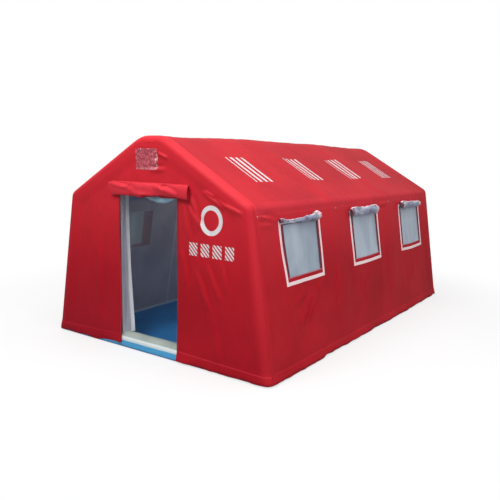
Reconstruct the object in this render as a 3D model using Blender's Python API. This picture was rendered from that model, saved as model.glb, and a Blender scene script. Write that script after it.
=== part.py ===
import math

import bmesh
import bpy
from mathutils import Matrix, Vector

# Inflatable frame tent, in metres. The doorway gable faces -Y, +X is to its right and +Z is up.
# The origin is the middle of the footprint, on the face that rests on the ground.

# Outer shape of the cover
LENGTH = 5.73
BASE_HALF_WIDTH = 1.742
EAVE_HALF_WIDTH = 1.437
EAVE_HEIGHT = 1.911
PEAK_HEIGHT = 2.747
EAVE_RADIUS = 0.118
RIDGE_RADIUS = 0.477
GABLE_EDGE_RADIUS = 0.078
SEAM_ALLOWANCE = 0.01
COVER_THICKNESS = 0.004
HEM_HEIGHT = 0.11
HEM_FLARE = 0.016
HEM_LIFT = 0.012
EAVE_SEAM_DROP = 0.05
EAVE_STEPS = 5
RIDGE_STEPS = 9
GABLE_EDGE_STEPS = 6

# Ground sheet, a shallow tray
SHEET_THICKNESS = 0.004
LIP_HEIGHT = 0.09
LIP_THICKNESS = 0.003
CORNER_STEPS = 4

# Air tubes
BASE_TUBE_RADIUS = 0.095
BASE_TUBE_CREASE = 0.006
ARCH_RADIUS = 0.1
ARCH_SLACK = 0.0012
ARCH_EAVE_BEND = 0.065
ARCH_COUNT = 4
LEG_START = 0.05
PURLIN_RADIUS = 0.08
TUBE_SIDES = 12

# Inner tent
LINER_THICKNESS = 0.003
LINER_FLOOR_GAP = 0.004
LINER_SLACK = 0.0009
LINER_EAVE_RADIUS = 0.03

# Doorway in the front gable
DOOR_LEFT = -0.511
DOOR_RIGHT = 0.429
DOOR_TOP = 1.93
JAMB_THICKNESS = 0.003

# Rolled-up door curtain, outside
FLAP_LEFT = -0.735
FLAP_RIGHT = 0.59
FLAP_BOTTOM = 1.932
FLAP_HEIGHT = 0.172
FLAP_DEPTH = 0.062
FLAP_PINCH = 0.0186
FLAP_PINCHES = 2
FLAP_RIPPLE = 0.0172
FLAP_RIPPLES = 3
FLAP_STATIONS = 13

# Rolled-up inner curtain, hanging slack behind the lintel
CURTAIN_SPAN = 0.86
CURTAIN_RADIUS = 0.038
CURTAIN_END_RADIUS = 0.0285
CURTAIN_END_HEIGHT = 1.965
CURTAIN_SAG = 0.07
CURTAIN_STATIONS = 13

# Windows: a white tape frame, a band of cover cloth inside it, then the mesh pane
WINDOW_COUNT = 3
WINDOW_PITCH = 1.855
WINDOW_SILL = 0.985
WINDOW_WIDTH = 1.0
WINDOW_HEIGHT = 0.765
TAPE_WIDTH = 0.052
TAPE_THICKNESS = 0.003
BAND_WIDTH = 0.052
PANE_THICKNESS = 0.002
PANE_LAP = 0.02
ROLL_LENGTH = 1.1
ROLL_SHIFT = 0.045
ROLL_HEIGHT = 0.1
ROLL_DEPTH = 0.07
ROLL_WAIST = 0.028
ROLL_DIP = 0.014
ROLL_DIPS = 2
ROLL_LAP = 0.05
ROLL_STATIONS = 11
ROLL_SIDES = 12

# Clear pocket high on the front gable
POCKET_WIDTH = 0.35
POCKET_HEIGHT = 0.245
POCKET_X = -0.062
POCKET_BOTTOM = 2.26
POCKET_THICKNESS = 0.002

# Inflation valve and relief valve, on the rear run of the base tube
VALVE_X = 1.0
RELIEF_X = 0.8
FLANGE_RADIUS = 0.034
FLANGE_THICKNESS = 0.004
NECK_RADIUS = 0.02
NECK_LENGTH = 0.04
CAP_RADIUS = 0.026
CAP_LENGTH = 0.022
CAP_WALL = 0.003
RELIEF_RADIUS = 0.022
RELIEF_LENGTH = 0.03
HOLE_MARGIN = 0.004
VALVE_SIDES = 24

# Clearance between pieces that touch, and how far a cutter runs past what it cuts
GAP = 0.0003
CUT_MARGIN = 0.05

SHARP_ANGLE = math.radians(35)

# Directions across the section: the wall's and the roof's run, and the way each faces
wall_run = Vector((EAVE_HALF_WIDTH - BASE_HALF_WIDTH, 0, EAVE_HEIGHT)).normalized()
wall_out = Vector((wall_run.z, 0, -wall_run.x))
roof_run = Vector((-EAVE_HALF_WIDTH, 0, PEAK_HEIGHT - EAVE_HEIGHT)).normalized()
roof_out = Vector((roof_run.z, 0, -roof_run.x))

half_length = LENGTH / 2
panel_end = half_length - GABLE_EDGE_RADIUS - SEAM_ALLOWANCE
flat = math.cos(math.pi / TUBE_SIDES)
arch_inset = COVER_THICKNESS + ARCH_SLACK + ARCH_RADIUS * flat
liner_inset = arch_inset + ARCH_RADIUS * flat + LINER_SLACK
arch_pitch = (LENGTH - 2 * arch_inset) / (ARCH_COUNT - 1)
arch_places = [-half_length + arch_inset + i * arch_pitch for i in range(ARCH_COUNT)]
liner_end = half_length - liner_inset


def wall_x(height, inset):
    """Distance of the right wall from the middle at a height, moved in by inset"""
    return BASE_HALF_WIDTH + (wall_run.x * height - inset) / wall_run.z


def eave_corner(inset):
    """Where the wall and roof planes meet when both are moved in by inset"""
    height = (PEAK_HEIGHT - (BASE_HALF_WIDTH - inset / wall_run.z) * roof_out.x / roof_out.z
              - inset / roof_out.z) / (1 + wall_run.x / wall_run.z * roof_out.x / roof_out.z)
    return Vector((wall_x(height, inset), 0, height))


def fillet(before, corner, after, radius, steps):
    """Points of an arc of radius that rounds a corner"""
    back = (before - corner).normalized()
    ahead = (after - corner).normalized()
    half_angle = back.angle(ahead) / 2
    centre = corner + (back + ahead).normalized() * radius / math.sin(half_angle)
    start = corner + back * radius / math.tan(half_angle) - centre
    turn = math.pi - 2 * half_angle
    axis = start.cross(ahead)
    return [centre + Matrix.Rotation(turn * i / steps, 3, axis) @ start for i in range(steps + 1)]


def half_section(inset, foot, eave_radius, ridge_radius, eave_steps, ridge_steps):
    """Right half of the tent's section, from the foot height to the ridge"""
    eave = eave_corner(inset)
    peak = Vector((0, 0, PEAK_HEIGHT - inset / roof_out.z))
    base = Vector((wall_x(foot, inset), 0, foot))
    far_eave = Vector((-eave.x, 0, eave.z))
    points = [base] + fillet(base, eave, peak, eave_radius, eave_steps)
    ridge = fillet(eave, peak, far_eave, ridge_radius, ridge_steps)
    return points + ridge[: (ridge_steps + 1) // 2]


def mirrored(points):
    """A right half with its left half added"""
    return points + [Vector((-p.x, p.y, p.z)) for p in reversed(points)]


def cover_half(inset=0.0):
    """Right half of the cover's section: hem, wall, eave seam, rounded eave and ridge"""
    eave_radius = EAVE_RADIUS - inset
    points = half_section(inset, HEM_LIFT, eave_radius, RIDGE_RADIUS - inset, EAVE_STEPS, RIDGE_STEPS)
    hem_top = Vector((wall_x(HEM_HEIGHT, inset), 0, HEM_HEIGHT))
    seam = points[1] - wall_run * EAVE_SEAM_DROP
    return [points[0], hem_top, seam] + points[1:]


def fabric(name, colour, roughness=0.7, metallic=0.0, alpha=1.0):
    """A Principled material for one sub-part"""
    material = bpy.data.materials.new(name)
    material.use_nodes = True
    shader = material.node_tree.nodes["Principled BSDF"]
    shader.inputs["Base Color"].default_value = (*colour, 1)
    shader.inputs["Roughness"].default_value = roughness
    shader.inputs["Metallic"].default_value = metallic
    shader.inputs["Alpha"].default_value = alpha
    return material


def add_object(name, bm, colour=None, parent=None, smooth=True, **finish):
    """Puts a bmesh in the scene as a named object"""
    mesh = bpy.data.meshes.new(name)
    bm.to_mesh(mesh)
    bm.free()
    if smooth:
        mesh.shade_smooth()
        mesh.set_sharp_from_angle(angle=SHARP_ANGLE)
    obj = bpy.data.objects.new(name, mesh)
    bpy.context.scene.collection.objects.link(obj)
    obj.parent = parent
    if colour:
        mesh.materials.append(fabric(name, colour, **finish))
    return obj


def add_cutter(name, bm, parent=None):
    """A hidden solid that only cuts others"""
    obj = add_object(name, bm, parent=parent, smooth=False)
    obj.hide_render = True
    obj.display_type = "WIRE"
    return obj


def add_empty(name, parent=None):
    obj = bpy.data.objects.new(name, None)
    bpy.context.scene.collection.objects.link(obj)
    obj.parent = parent
    return obj


def cut(obj, *cutters):
    for cutter in cutters:
        modifier = obj.modifiers.new("cut by " + cutter.name, "BOOLEAN")
        modifier.operation = "DIFFERENCE"
        modifier.solver = "EXACT"
        modifier.object = cutter


def thicken(obj, thickness):
    """Gives a surface its thickness on its inner side"""
    modifier = obj.modifiers.new("thickness", "SOLIDIFY")
    modifier.thickness = thickness
    modifier.offset = -1
    modifier.use_even_offset = True


def box(low, high):
    """A box between two corners"""
    bm = bmesh.new()
    size = Vector(high) - Vector(low)
    middle = (Vector(high) + Vector(low)) / 2
    bmesh.ops.create_cube(bm, size=1, matrix=Matrix.Translation(middle) @ Matrix.Diagonal((*size, 1)))
    return bm


def round_bar(radius, start, length):
    """A cylinder along -Y from a start"""
    bm = bmesh.new()
    turn = Matrix.Rotation(math.radians(90), 4, "X")
    place = Matrix.Translation((0, start - length / 2, 0)) @ turn
    bmesh.ops.create_cone(bm, cap_ends=True, segments=VALVE_SIDES, radius1=radius, radius2=radius,
                          depth=length, matrix=place)
    return bm


def join_rings(bm, rings, closed=False):
    """Skins a row of rings, and caps its ends unless the row is closed"""
    sides = len(rings[0])
    following = rings[1:] + rings[:1] if closed else rings[1:]
    for first, second in zip(rings, following):
        for k in range(sides):
            n = (k + 1) % sides
            bm.faces.new((first[k], first[n], second[n], second[k]))
    if not closed:
        bm.faces.new(rings[0])
        bm.faces.new(rings[-1])
    bmesh.ops.recalc_face_normals(bm, faces=bm.faces)


def tube_along(path, across, radius, closed=False):
    """A round tube along a path in one plane, with mitred bends; across is that plane's normal"""
    bm = bmesh.new()
    rings = []
    count = len(path)
    for i, point in enumerate(path):
        back = path[i] - path[i - 1] if closed or i else path[1] - path[0]
        ahead = path[(i + 1) % count] - path[i] if closed or i < count - 1 else back
        back, ahead = back.normalized(), ahead.normalized()
        side = across.cross((back + ahead).normalized())
        stretch = 1 / math.cos(back.angle(ahead) / 2)
        ring = []
        for k in range(TUBE_SIDES):
            angle = (k + 0.5) * 2 * math.pi / TUBE_SIDES
            offset = side * (radius * stretch * math.cos(angle)) + across * (radius * math.sin(angle))
            ring.append(bm.verts.new(point + offset))
        rings.append(ring)
    join_rings(bm, rings, closed)
    return bm


def sheet_along_y(profile, end):
    """A surface with one profile from -end to end, seamed at the inner arches, facing outwards"""
    bm = bmesh.new()
    stations = [-end] + arch_places[1:-1] + [end]
    rows = [[bm.verts.new((p.x, y, p.z)) for p in profile] for y in stations]
    for near, far in zip(rows, rows[1:]):
        for i in range(len(profile) - 1):
            bm.faces.new((near[i], far[i], far[i + 1], near[i + 1]))
    return bm


def wave(share, count):
    """Runs from 0 to 1 and back, count times over a length"""
    return (1 - math.cos(2 * math.pi * count * share)) / 2


def rolled_cloth(length, count, shape):
    """
    A roll of cloth, lengthways along X, its back on the plane Z = 0. For a share of the length,
    shape gives the height of its middle, its half height along Y and its half depth along Z.
    """
    bm = bmesh.new()
    rings = []
    for i in range(count):
        share = i / (count - 1)
        middle, half_height, half_depth = shape(share)
        ring = []
        for k in range(ROLL_SIDES):
            angle = k * 2 * math.pi / ROLL_SIDES
            y = middle + half_height * math.cos(angle)
            z = half_depth * (1 + math.sin(angle))
            ring.append(bm.verts.new(((share - 0.5) * length, y, z)))
        rings.append(ring)
    join_rings(bm, rings)
    return bm


for old in list(bpy.data.objects):
    bpy.data.objects.remove(old, do_unlink=True)

tent = add_empty("tent")

COVER_RED = (0.55, 0.016, 0.03)
FLAP_RED = (0.72, 0.03, 0.05)
LINER_WHITE = (0.75, 0.75, 0.76)
CURTAIN_GREEN = (0.55, 0.72, 0.75)
TUBE_WHITE = (0.7, 0.72, 0.7)
SHEET_BLUE = (0.02, 0.11, 0.36)
TAPE_WHITE = (0.8, 0.72, 0.72)
MESH_GREY = (0.5, 0.58, 0.65)
FILM_GREY = (0.7, 0.72, 0.8)
POCKET_PINK = (0.6, 0.3, 0.35)
VALVE_BLACK = (0.1, 0.1, 0.11)
CAP_RED = (0.6, 0.02, 0.03)

# Ground sheet: coated cloth welded into a tray, which the base tube lies in
sheet_half_width = wall_x(LIP_HEIGHT, COVER_THICKNESS) - GAP
sheet_half_length = half_length - COVER_THICKNESS - GAP


def rounded_rectangle(half_x, half_y, radius, height):
    """Corners of a level rectangle with rounded corners, counter-clockwise"""
    points = []
    for sx, sy, start in ((1, -1, -90), (1, 1, 0), (-1, 1, 90), (-1, -1, 180)):
        for i in range(CORNER_STEPS + 1):
            angle = math.radians(start + 90 * i / CORNER_STEPS)
            points.append(Vector((sx * (half_x - radius) + radius * math.cos(angle),
                                  sy * (half_y - radius) + radius * math.sin(angle), height)))
    return points


bm = bmesh.new()
outline = rounded_rectangle(sheet_half_width, sheet_half_length, GABLE_EDGE_RADIUS, 0)
bottom = bm.faces.new([bm.verts.new(p) for p in outline])
raised = bmesh.ops.extrude_face_region(bm, geom=[bottom])["geom"]
rim = [v for v in raised if isinstance(v, bmesh.types.BMVert)]
bmesh.ops.translate(bm, vec=(0, 0, LIP_HEIGHT), verts=rim)
top = [f for f in raised if isinstance(f, bmesh.types.BMFace)]
bmesh.ops.recalc_face_normals(bm, faces=bm.faces)
bmesh.ops.inset_region(bm, faces=top, thickness=LIP_THICKNESS, use_even_offset=True)
bmesh.ops.translate(bm, vec=(0, 0, SHEET_THICKNESS - LIP_HEIGHT), verts=top[0].verts)
bmesh.ops.recalc_face_normals(bm, faces=bm.faces)
add_object("ground_sheet", bm, SHEET_BLUE, tent, roughness=0.45)

# Base tube: one air tube right round the foot of the tent, in the tray
base_height = SHEET_THICKNESS + GAP + BASE_TUBE_RADIUS * flat
facet_top = base_height + BASE_TUBE_RADIUS * math.sin(math.pi / TUBE_SIDES)
base_half_width = wall_x(facet_top, COVER_THICKNESS) - GAP - BASE_TUBE_RADIUS * flat
base_half_length = sheet_half_length - LIP_THICKNESS - GAP - BASE_TUBE_RADIUS * flat
bend = BASE_TUBE_RADIUS + BASE_TUBE_CREASE
base_path = rounded_rectangle(base_half_width, base_half_length, bend, base_height)
up = Vector((0, 0, 1))
add_object("base_tube", tube_along(base_path, up, BASE_TUBE_RADIUS, True), TUBE_WHITE, tent, roughness=0.4)
base_cutter = add_cutter("base_tube_room", tube_along(base_path, up, BASE_TUBE_RADIUS + GAP, True), tent)

# Arches: air tubes with welded bends at the eaves and a rounded top, standing on the base tube
along = Vector((0, 1, 0))
leg_foot = base_height + LEG_START
arch_ridge = RIDGE_RADIUS - arch_inset
arch_half = half_section(arch_inset, leg_foot, ARCH_EAVE_BEND, arch_ridge, 1, RIDGE_STEPS)
arch_cutters = []
for number, place in enumerate(arch_places, 1):
    path = [p + along * place for p in mirrored(arch_half)]
    arch = add_object(f"arch_{number}", tube_along(path, along, ARCH_RADIUS), TUBE_WHITE, tent, roughness=0.4)
    cut(arch, base_cutter)
    arch_cutters.append(add_cutter(f"arch_{number}_room", tube_along(path, along, ARCH_RADIUS + GAP), tent))

# Spacer tubes between the arches: one run at the ridge and one at each eave
ridge_centre = Vector((0, 0, arch_half[-1].z))
eave_centre = (arch_half[1] + arch_half[2]) / 2
left_eave_centre = Vector((-eave_centre.x, 0, eave_centre.z))
for run, centre in (("ridge_tube", ridge_centre), ("eave_tube_right", eave_centre),
                    ("eave_tube_left", left_eave_centre)):
    for bay in range(ARCH_COUNT - 1):
        path = [centre + along * arch_places[bay], centre + along * arch_places[bay + 1]]
        tube = tube_along(path, up, PURLIN_RADIUS)
        tube = add_object(f"{run}_{bay + 1}", tube, TUBE_WHITE, tent, roughness=0.4)
        cut(tube, arch_cutters[bay], arch_cutters[bay + 1])


# Window openings, cut through the cover and the inner tent alike
def wall_place(side, y, climb):
    """Frame on the cover's outer face: X along the wall, Y up it and Z out of it"""
    run = Vector((side * wall_run.x, 0, wall_run.z))
    out = Vector((side * wall_out.x, 0, wall_out.z))
    level = run.cross(out)
    point = Vector((side * BASE_HALF_WIDTH, y, 0)) + run * climb
    return Matrix.Translation(point) @ Matrix((level, run, out)).transposed().to_4x4()


frame_width = TAPE_WIDTH + BAND_WIDTH
pane_half_width = WINDOW_WIDTH / 2 - frame_width
pane_top = WINDOW_HEIGHT - ROLL_LAP
window_empties = {}
window_cutters = {"left": [], "right": []}
for side_name, side in (("left", -1), ("right", 1)):
    for i in range(WINDOW_COUNT):
        y = (i - (WINDOW_COUNT - 1) / 2) * WINDOW_PITCH
        place = add_empty(f"window_{side_name}_{i + 1}", tent)
        place.matrix_world = wall_place(side, y, WINDOW_SILL)
        window_empties[side_name, i + 1] = place
        low = (-pane_half_width, frame_width, -liner_inset - CUT_MARGIN)
        hole = box(low, (pane_half_width, pane_top, CUT_MARGIN))
        window_cutters[side_name].append(add_cutter(f"window_{side_name}_{i + 1}_hole", hole, place))

# Cover: red coated cloth in five panels, sewn at the eaves and round the gable edges
section = cover_half()
seam_index = 2
roof_profile = mirrored([section[seam_index] + wall_run * GAP] + section[seam_index + 1:])
roof = add_object("cover_roof", sheet_along_y(roof_profile, panel_end - GAP), COVER_RED, tent)
thicken(roof, COVER_THICKNESS)
foot = section[0] + Vector((HEM_FLARE, 0, 0))
wall_profile = [foot] + section[1: seam_index + 1]
for side_name, side in (("right", 1), ("left", -1)):
    profile = wall_profile if side > 0 else [Vector((-p.x, 0, p.z)) for p in reversed(wall_profile)]
    wall = add_object(f"cover_wall_{side_name}", sheet_along_y(profile, panel_end - GAP), COVER_RED, tent)
    thicken(wall, COVER_THICKNESS)
    cut(wall, *window_cutters[side_name])


def gable_panel():
    """Gable facing -Y, with its edge rounded back to the roof and walls and its hem flared"""
    bm = bmesh.new()
    turns = [(0, -panel_end)]
    for k in range(GABLE_EDGE_STEPS + 1):
        angle = math.radians(90 * k / GABLE_EDGE_STEPS)
        turns.append((angle, GABLE_EDGE_RADIUS - half_length - GABLE_EDGE_RADIUS * math.sin(angle)))
    rings = []
    for angle, y in turns:
        half = [Vector((p.x, y, p.z)) for p in cover_half(GABLE_EDGE_RADIUS * (1 - math.cos(angle)))]
        half[0] += Vector((math.cos(angle), -math.sin(angle), 0)) * HEM_FLARE
        rings.append([bm.verts.new(p) for p in mirrored(half)])
    count = len(rings[0])
    for outer, inner in zip(rings, rings[1:]):
        for i in range(count - 1):
            bm.faces.new((outer[i], outer[i + 1], inner[i + 1], inner[i]))
    face = rings[-1]
    for i in range(count // 2 - 1):
        bm.faces.new((face[i], face[i + 1], face[count - 2 - i], face[count - 1 - i]))
    return bm


door_low = (DOOR_LEFT, -half_length - CUT_MARGIN, -CUT_MARGIN)
door_hole = box(door_low, (DOOR_RIGHT, CUT_MARGIN - liner_end, DOOR_TOP))
door_cutter = add_cutter("door_hole", door_hole, tent)
front = add_object("cover_gable_front", gable_panel(), COVER_RED, tent)
thicken(front, COVER_THICKNESS)
cut(front, door_cutter)
rear = add_object("cover_gable_rear", gable_panel(), COVER_RED, tent)
rear.rotation_euler.z = math.pi
thicken(rear, COVER_THICKNESS)

# Inner tent: thin pale cloth hung on the inner side of the air tubes
liner_foot = SHEET_THICKNESS + LINER_FLOOR_GAP
liner_ridge = RIDGE_RADIUS - liner_inset
liner_half = half_section(liner_inset, liner_foot, LINER_EAVE_RADIUS, liner_ridge, 1, RIDGE_STEPS)
shell_end = liner_end - LINER_THICKNESS - GAP
liner = add_object("liner_shell", sheet_along_y(mirrored(liner_half), shell_end), LINER_WHITE, tent)
thicken(liner, LINER_THICKNESS)
cut(liner, *window_cutters["left"], *window_cutters["right"])


def liner_panel():
    """Flat end panel of the inner tent, facing -Y"""
    bm = bmesh.new()
    bm.faces.new([bm.verts.new((p.x, -liner_end, p.z)) for p in mirrored(liner_half)])
    bmesh.ops.recalc_face_normals(bm, faces=bm.faces)
    if bm.faces[:][0].normal.y > 0:
        bmesh.ops.reverse_faces(bm, faces=bm.faces)
    return bm


liner_front = add_object("liner_gable_front", liner_panel(), LINER_WHITE, tent)
thicken(liner_front, LINER_THICKNESS)
cut(liner_front, door_cutter)
liner_rear = add_object("liner_gable_rear", liner_panel(), LINER_WHITE, tent)
liner_rear.rotation_euler.z = math.pi
thicken(liner_rear, LINER_THICKNESS)

# Door jambs: strips of lining from the cover's edge back to the inner tent, above the base tube
jamb_front = -half_length + COVER_THICKNESS + GAP
jamb_back = -liner_end - GAP
jamb_foot = base_height + BASE_TUBE_RADIUS * flat + GAP
for name, low_x in (("door_jamb_left", DOOR_LEFT - JAMB_THICKNESS), ("door_jamb_right", DOOR_RIGHT)):
    strip = box((low_x, jamb_front, jamb_foot), (low_x + JAMB_THICKNESS, jamb_back, DOOR_TOP))
    add_object(name, strip, LINER_WHITE, tent, smooth=False)


# Door curtain rolled up and tied over the doorway, outside
def flap_shape(share):
    """Flattened roll, level along its foot, rippled along its top and pinched by its ties"""
    half_height = (FLAP_HEIGHT - FLAP_RIPPLE * wave(share, FLAP_RIPPLES)) / 2
    half_depth = (FLAP_DEPTH - FLAP_PINCH * wave(share, FLAP_PINCHES)) / 2
    return half_height - FLAP_HEIGHT / 2, half_height, half_depth


flap_roll = rolled_cloth(FLAP_RIGHT - FLAP_LEFT, FLAP_STATIONS, flap_shape)
flap = add_object("door_flap_roll", flap_roll, FLAP_RED, tent)
flap.location = ((FLAP_LEFT + FLAP_RIGHT) / 2, -half_length - GAP, FLAP_BOTTOM + FLAP_HEIGHT / 2)
flap.rotation_euler.x = math.radians(90)


# Inner curtain rolled up behind the lintel, slung between its ties
def curtain_shape(share):
    """Slack roll, slimmer where the ties hold its ends"""
    radius = CURTAIN_END_RADIUS + (CURTAIN_RADIUS - CURTAIN_END_RADIUS) * math.sin(math.pi * share)
    return -CURTAIN_SAG * (1 - (2 * share - 1) ** 2), radius, radius


curtain_roll = rolled_cloth(CURTAIN_SPAN, CURTAIN_STATIONS, curtain_shape)
curtain = add_object("inner_curtain_roll", curtain_roll, CURTAIN_GREEN, tent)
curtain_back = -half_length + COVER_THICKNESS + GAP
curtain.location = ((DOOR_LEFT + DOOR_RIGHT) / 2, curtain_back, CURTAIN_END_HEIGHT)
curtain.rotation_euler = (math.radians(90), 0, math.pi)


# Windows: tape frame sewn on the cover, mesh pane behind it, and a clear cover rolled up on top
def roll_shape(share):
    """Roll that is fuller at its ends than between them"""
    half_height = (ROLL_HEIGHT - ROLL_WAIST * wave(share, 1)) / 2
    half_depth = (ROLL_DEPTH - ROLL_DIP * wave(share, ROLL_DIPS)) / 2
    return 0, half_height, half_depth


for (side_name, number), place in window_empties.items():
    label = f"{side_name}_{number}"
    frame = box((-WINDOW_WIDTH / 2, 0, GAP), (WINDOW_WIDTH / 2, WINDOW_HEIGHT, GAP + TAPE_THICKNESS))
    frame = add_object(f"window_frame_{label}", frame, TAPE_WHITE, place, smooth=False)
    inside = box((TAPE_WIDTH - WINDOW_WIDTH / 2, TAPE_WIDTH, -CUT_MARGIN),
                 (WINDOW_WIDTH / 2 - TAPE_WIDTH, WINDOW_HEIGHT - TAPE_WIDTH, CUT_MARGIN))
    cut(frame, add_cutter(f"window_frame_{label}_inside", inside, place))
    back = -COVER_THICKNESS - GAP
    pane = box((-pane_half_width - PANE_LAP, frame_width - PANE_LAP, back - PANE_THICKNESS),
               (pane_half_width + PANE_LAP, pane_top + PANE_LAP, back))
    add_object(f"window_mesh_{label}", pane, MESH_GREY, place, smooth=False, alpha=0.5)
    roll = rolled_cloth(ROLL_LENGTH, ROLL_STATIONS, roll_shape)
    roll = add_object(f"window_roll_{label}", roll, FILM_GREY, place, roughness=0.25)
    roll.location = (ROLL_SHIFT, WINDOW_HEIGHT - ROLL_LAP + ROLL_HEIGHT / 2, TAPE_THICKNESS + 2 * GAP)

# Clear pocket sewn high on the front gable
pocket = box((POCKET_X - POCKET_WIDTH / 2, -half_length - GAP - POCKET_THICKNESS, POCKET_BOTTOM),
             (POCKET_X + POCKET_WIDTH / 2, -half_length - GAP, POCKET_BOTTOM + POCKET_HEIGHT))
add_object("gable_pocket", pocket, POCKET_PINK, tent, smooth=False, roughness=0.15, alpha=0.6)

# Valves on the rear run of the base tube, reached through holes in the inner tent
tube_face = base_half_length - BASE_TUBE_RADIUS * flat - GAP
stem_start = -FLANGE_THICKNESS / 2


def flanged_valve(name, x, radius, length):
    """Flange on the tube's flat inner face, with a stem standing out of it"""
    valve = add_object(name, round_bar(FLANGE_RADIUS, 0, FLANGE_THICKNESS), VALVE_BLACK, tent)
    valve.location = (x, tube_face, base_height)
    stem = add_cutter(name + "_stem", round_bar(radius, stem_start, length + stem_start), tent)
    stem.location = valve.location
    joined = valve.modifiers.new("stem", "BOOLEAN")
    joined.operation = "UNION"
    joined.solver = "EXACT"
    joined.object = stem
    hole = round_bar(FLANGE_RADIUS + HOLE_MARGIN, liner_inset, 2 * liner_inset)
    hole = add_cutter(name + "_hole", hole, tent)
    hole.location = (x, liner_end, base_height)
    cut(liner_rear, hole)


flanged_valve("inflation_valve", VALVE_X, NECK_RADIUS, NECK_LENGTH)
flanged_valve("relief_valve", RELIEF_X, RELIEF_RADIUS, RELIEF_LENGTH)
cap = add_object("inflation_valve_cap", round_bar(CAP_RADIUS, 0, CAP_LENGTH), CAP_RED, tent)
cap.location = (VALVE_X, tube_face - NECK_LENGTH + CAP_LENGTH - CAP_WALL, base_height)
bore_depth = CAP_LENGTH - CAP_WALL + GAP
cut(cap, add_cutter("valve_cap_bore", round_bar(NECK_RADIUS + GAP, CAP_LENGTH, CAP_LENGTH + bore_depth), cap))
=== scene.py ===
import math

import bmesh
import bpy
import numpy as np
from mathutils import Matrix, Vector, noise


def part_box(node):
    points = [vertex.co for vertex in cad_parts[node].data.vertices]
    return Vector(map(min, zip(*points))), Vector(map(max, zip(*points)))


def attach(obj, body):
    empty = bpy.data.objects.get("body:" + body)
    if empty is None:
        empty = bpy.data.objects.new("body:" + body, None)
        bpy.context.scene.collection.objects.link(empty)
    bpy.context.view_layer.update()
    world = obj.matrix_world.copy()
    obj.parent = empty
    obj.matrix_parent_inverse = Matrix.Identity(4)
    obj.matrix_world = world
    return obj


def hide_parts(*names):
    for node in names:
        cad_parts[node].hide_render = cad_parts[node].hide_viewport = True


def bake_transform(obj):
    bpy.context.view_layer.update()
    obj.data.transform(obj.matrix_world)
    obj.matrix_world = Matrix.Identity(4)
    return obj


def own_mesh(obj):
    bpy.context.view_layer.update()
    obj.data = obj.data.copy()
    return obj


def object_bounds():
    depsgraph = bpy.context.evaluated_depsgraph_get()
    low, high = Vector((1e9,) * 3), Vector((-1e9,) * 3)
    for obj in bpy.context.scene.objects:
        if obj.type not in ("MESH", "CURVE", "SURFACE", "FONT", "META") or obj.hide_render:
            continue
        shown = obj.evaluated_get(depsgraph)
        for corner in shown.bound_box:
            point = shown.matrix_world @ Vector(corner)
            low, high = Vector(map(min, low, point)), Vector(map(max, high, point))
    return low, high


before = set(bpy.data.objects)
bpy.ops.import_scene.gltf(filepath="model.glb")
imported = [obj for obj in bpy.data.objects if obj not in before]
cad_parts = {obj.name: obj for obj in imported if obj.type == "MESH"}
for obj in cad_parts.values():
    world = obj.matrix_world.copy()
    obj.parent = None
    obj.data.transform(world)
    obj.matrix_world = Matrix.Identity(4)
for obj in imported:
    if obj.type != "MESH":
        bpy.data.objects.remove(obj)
cad_low, cad_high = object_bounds()

# Camera: at eye level, off the right front corner of the tent, a little tilted.
# Its place and tilts come from fitting the tent's outline to the photograph.
CAMERA_PLACE = Vector((4.813, -7.779, 2.402))
CAMERA_YAW = 0.6005
CAMERA_PITCH = -0.157
CAMERA_ROLL = 0.026
CAMERA_LENS = 41.5

camera = bpy.data.objects.new("camera", bpy.data.cameras.new("camera"))
camera.data.lens = CAMERA_LENS
camera.data.sensor_width = 36
camera.matrix_world = (Matrix.Translation(CAMERA_PLACE) @ Matrix.Rotation(CAMERA_YAW, 4, "Z")
                       @ Matrix.Rotation(math.pi / 2 + CAMERA_PITCH, 4, "X")
                       @ Matrix.Rotation(CAMERA_ROLL, 4, "Z"))
scene = bpy.context.scene
scene.collection.objects.link(camera)
scene.camera = camera
scene.view_settings.view_transform = "Standard"


# Studio: a surround that looks white and lights mostly from above, a wide soft panel overhead and
# a small one in front. A lamp inside stands for the daylight that comes through the thin cloth.
# The ground is a plain white sheet that keeps the tent's soft shadow and throws little light back.
SIDE_LIGHT = 0.22
SKY_LIGHT = 0.75
PANELS = (
    ("overhead_panel", (1.5, -2.5, 9.0), (0, 0, 0.5), 9.0, 450),
    ("front_panel", (0.3, -5.4, 4.7), (0, -2.9, 2.2), 1.6, 74),
    ("side_panel", (7.0, -4.0, 4.5), (1.5, -1.0, 1.5), 2.5, 75),
    ("inside_panel", (0, -0.4, 2.2), (0, -0.6, 0), 1.6, 12),
)
HORIZON = (-0.1, 0.9)
GROUND_SIZE = 60.0
GROUND_GAP = 0.002
GROUND_WHITE = (0.86, 0.86, 0.87, 1)
GROUND_BOUNCE = (0.35, 0.34, 0.34, 1)
GROUND_GLOW = 0.65
GROUND_FADE = (3.0, 6.0)


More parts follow.
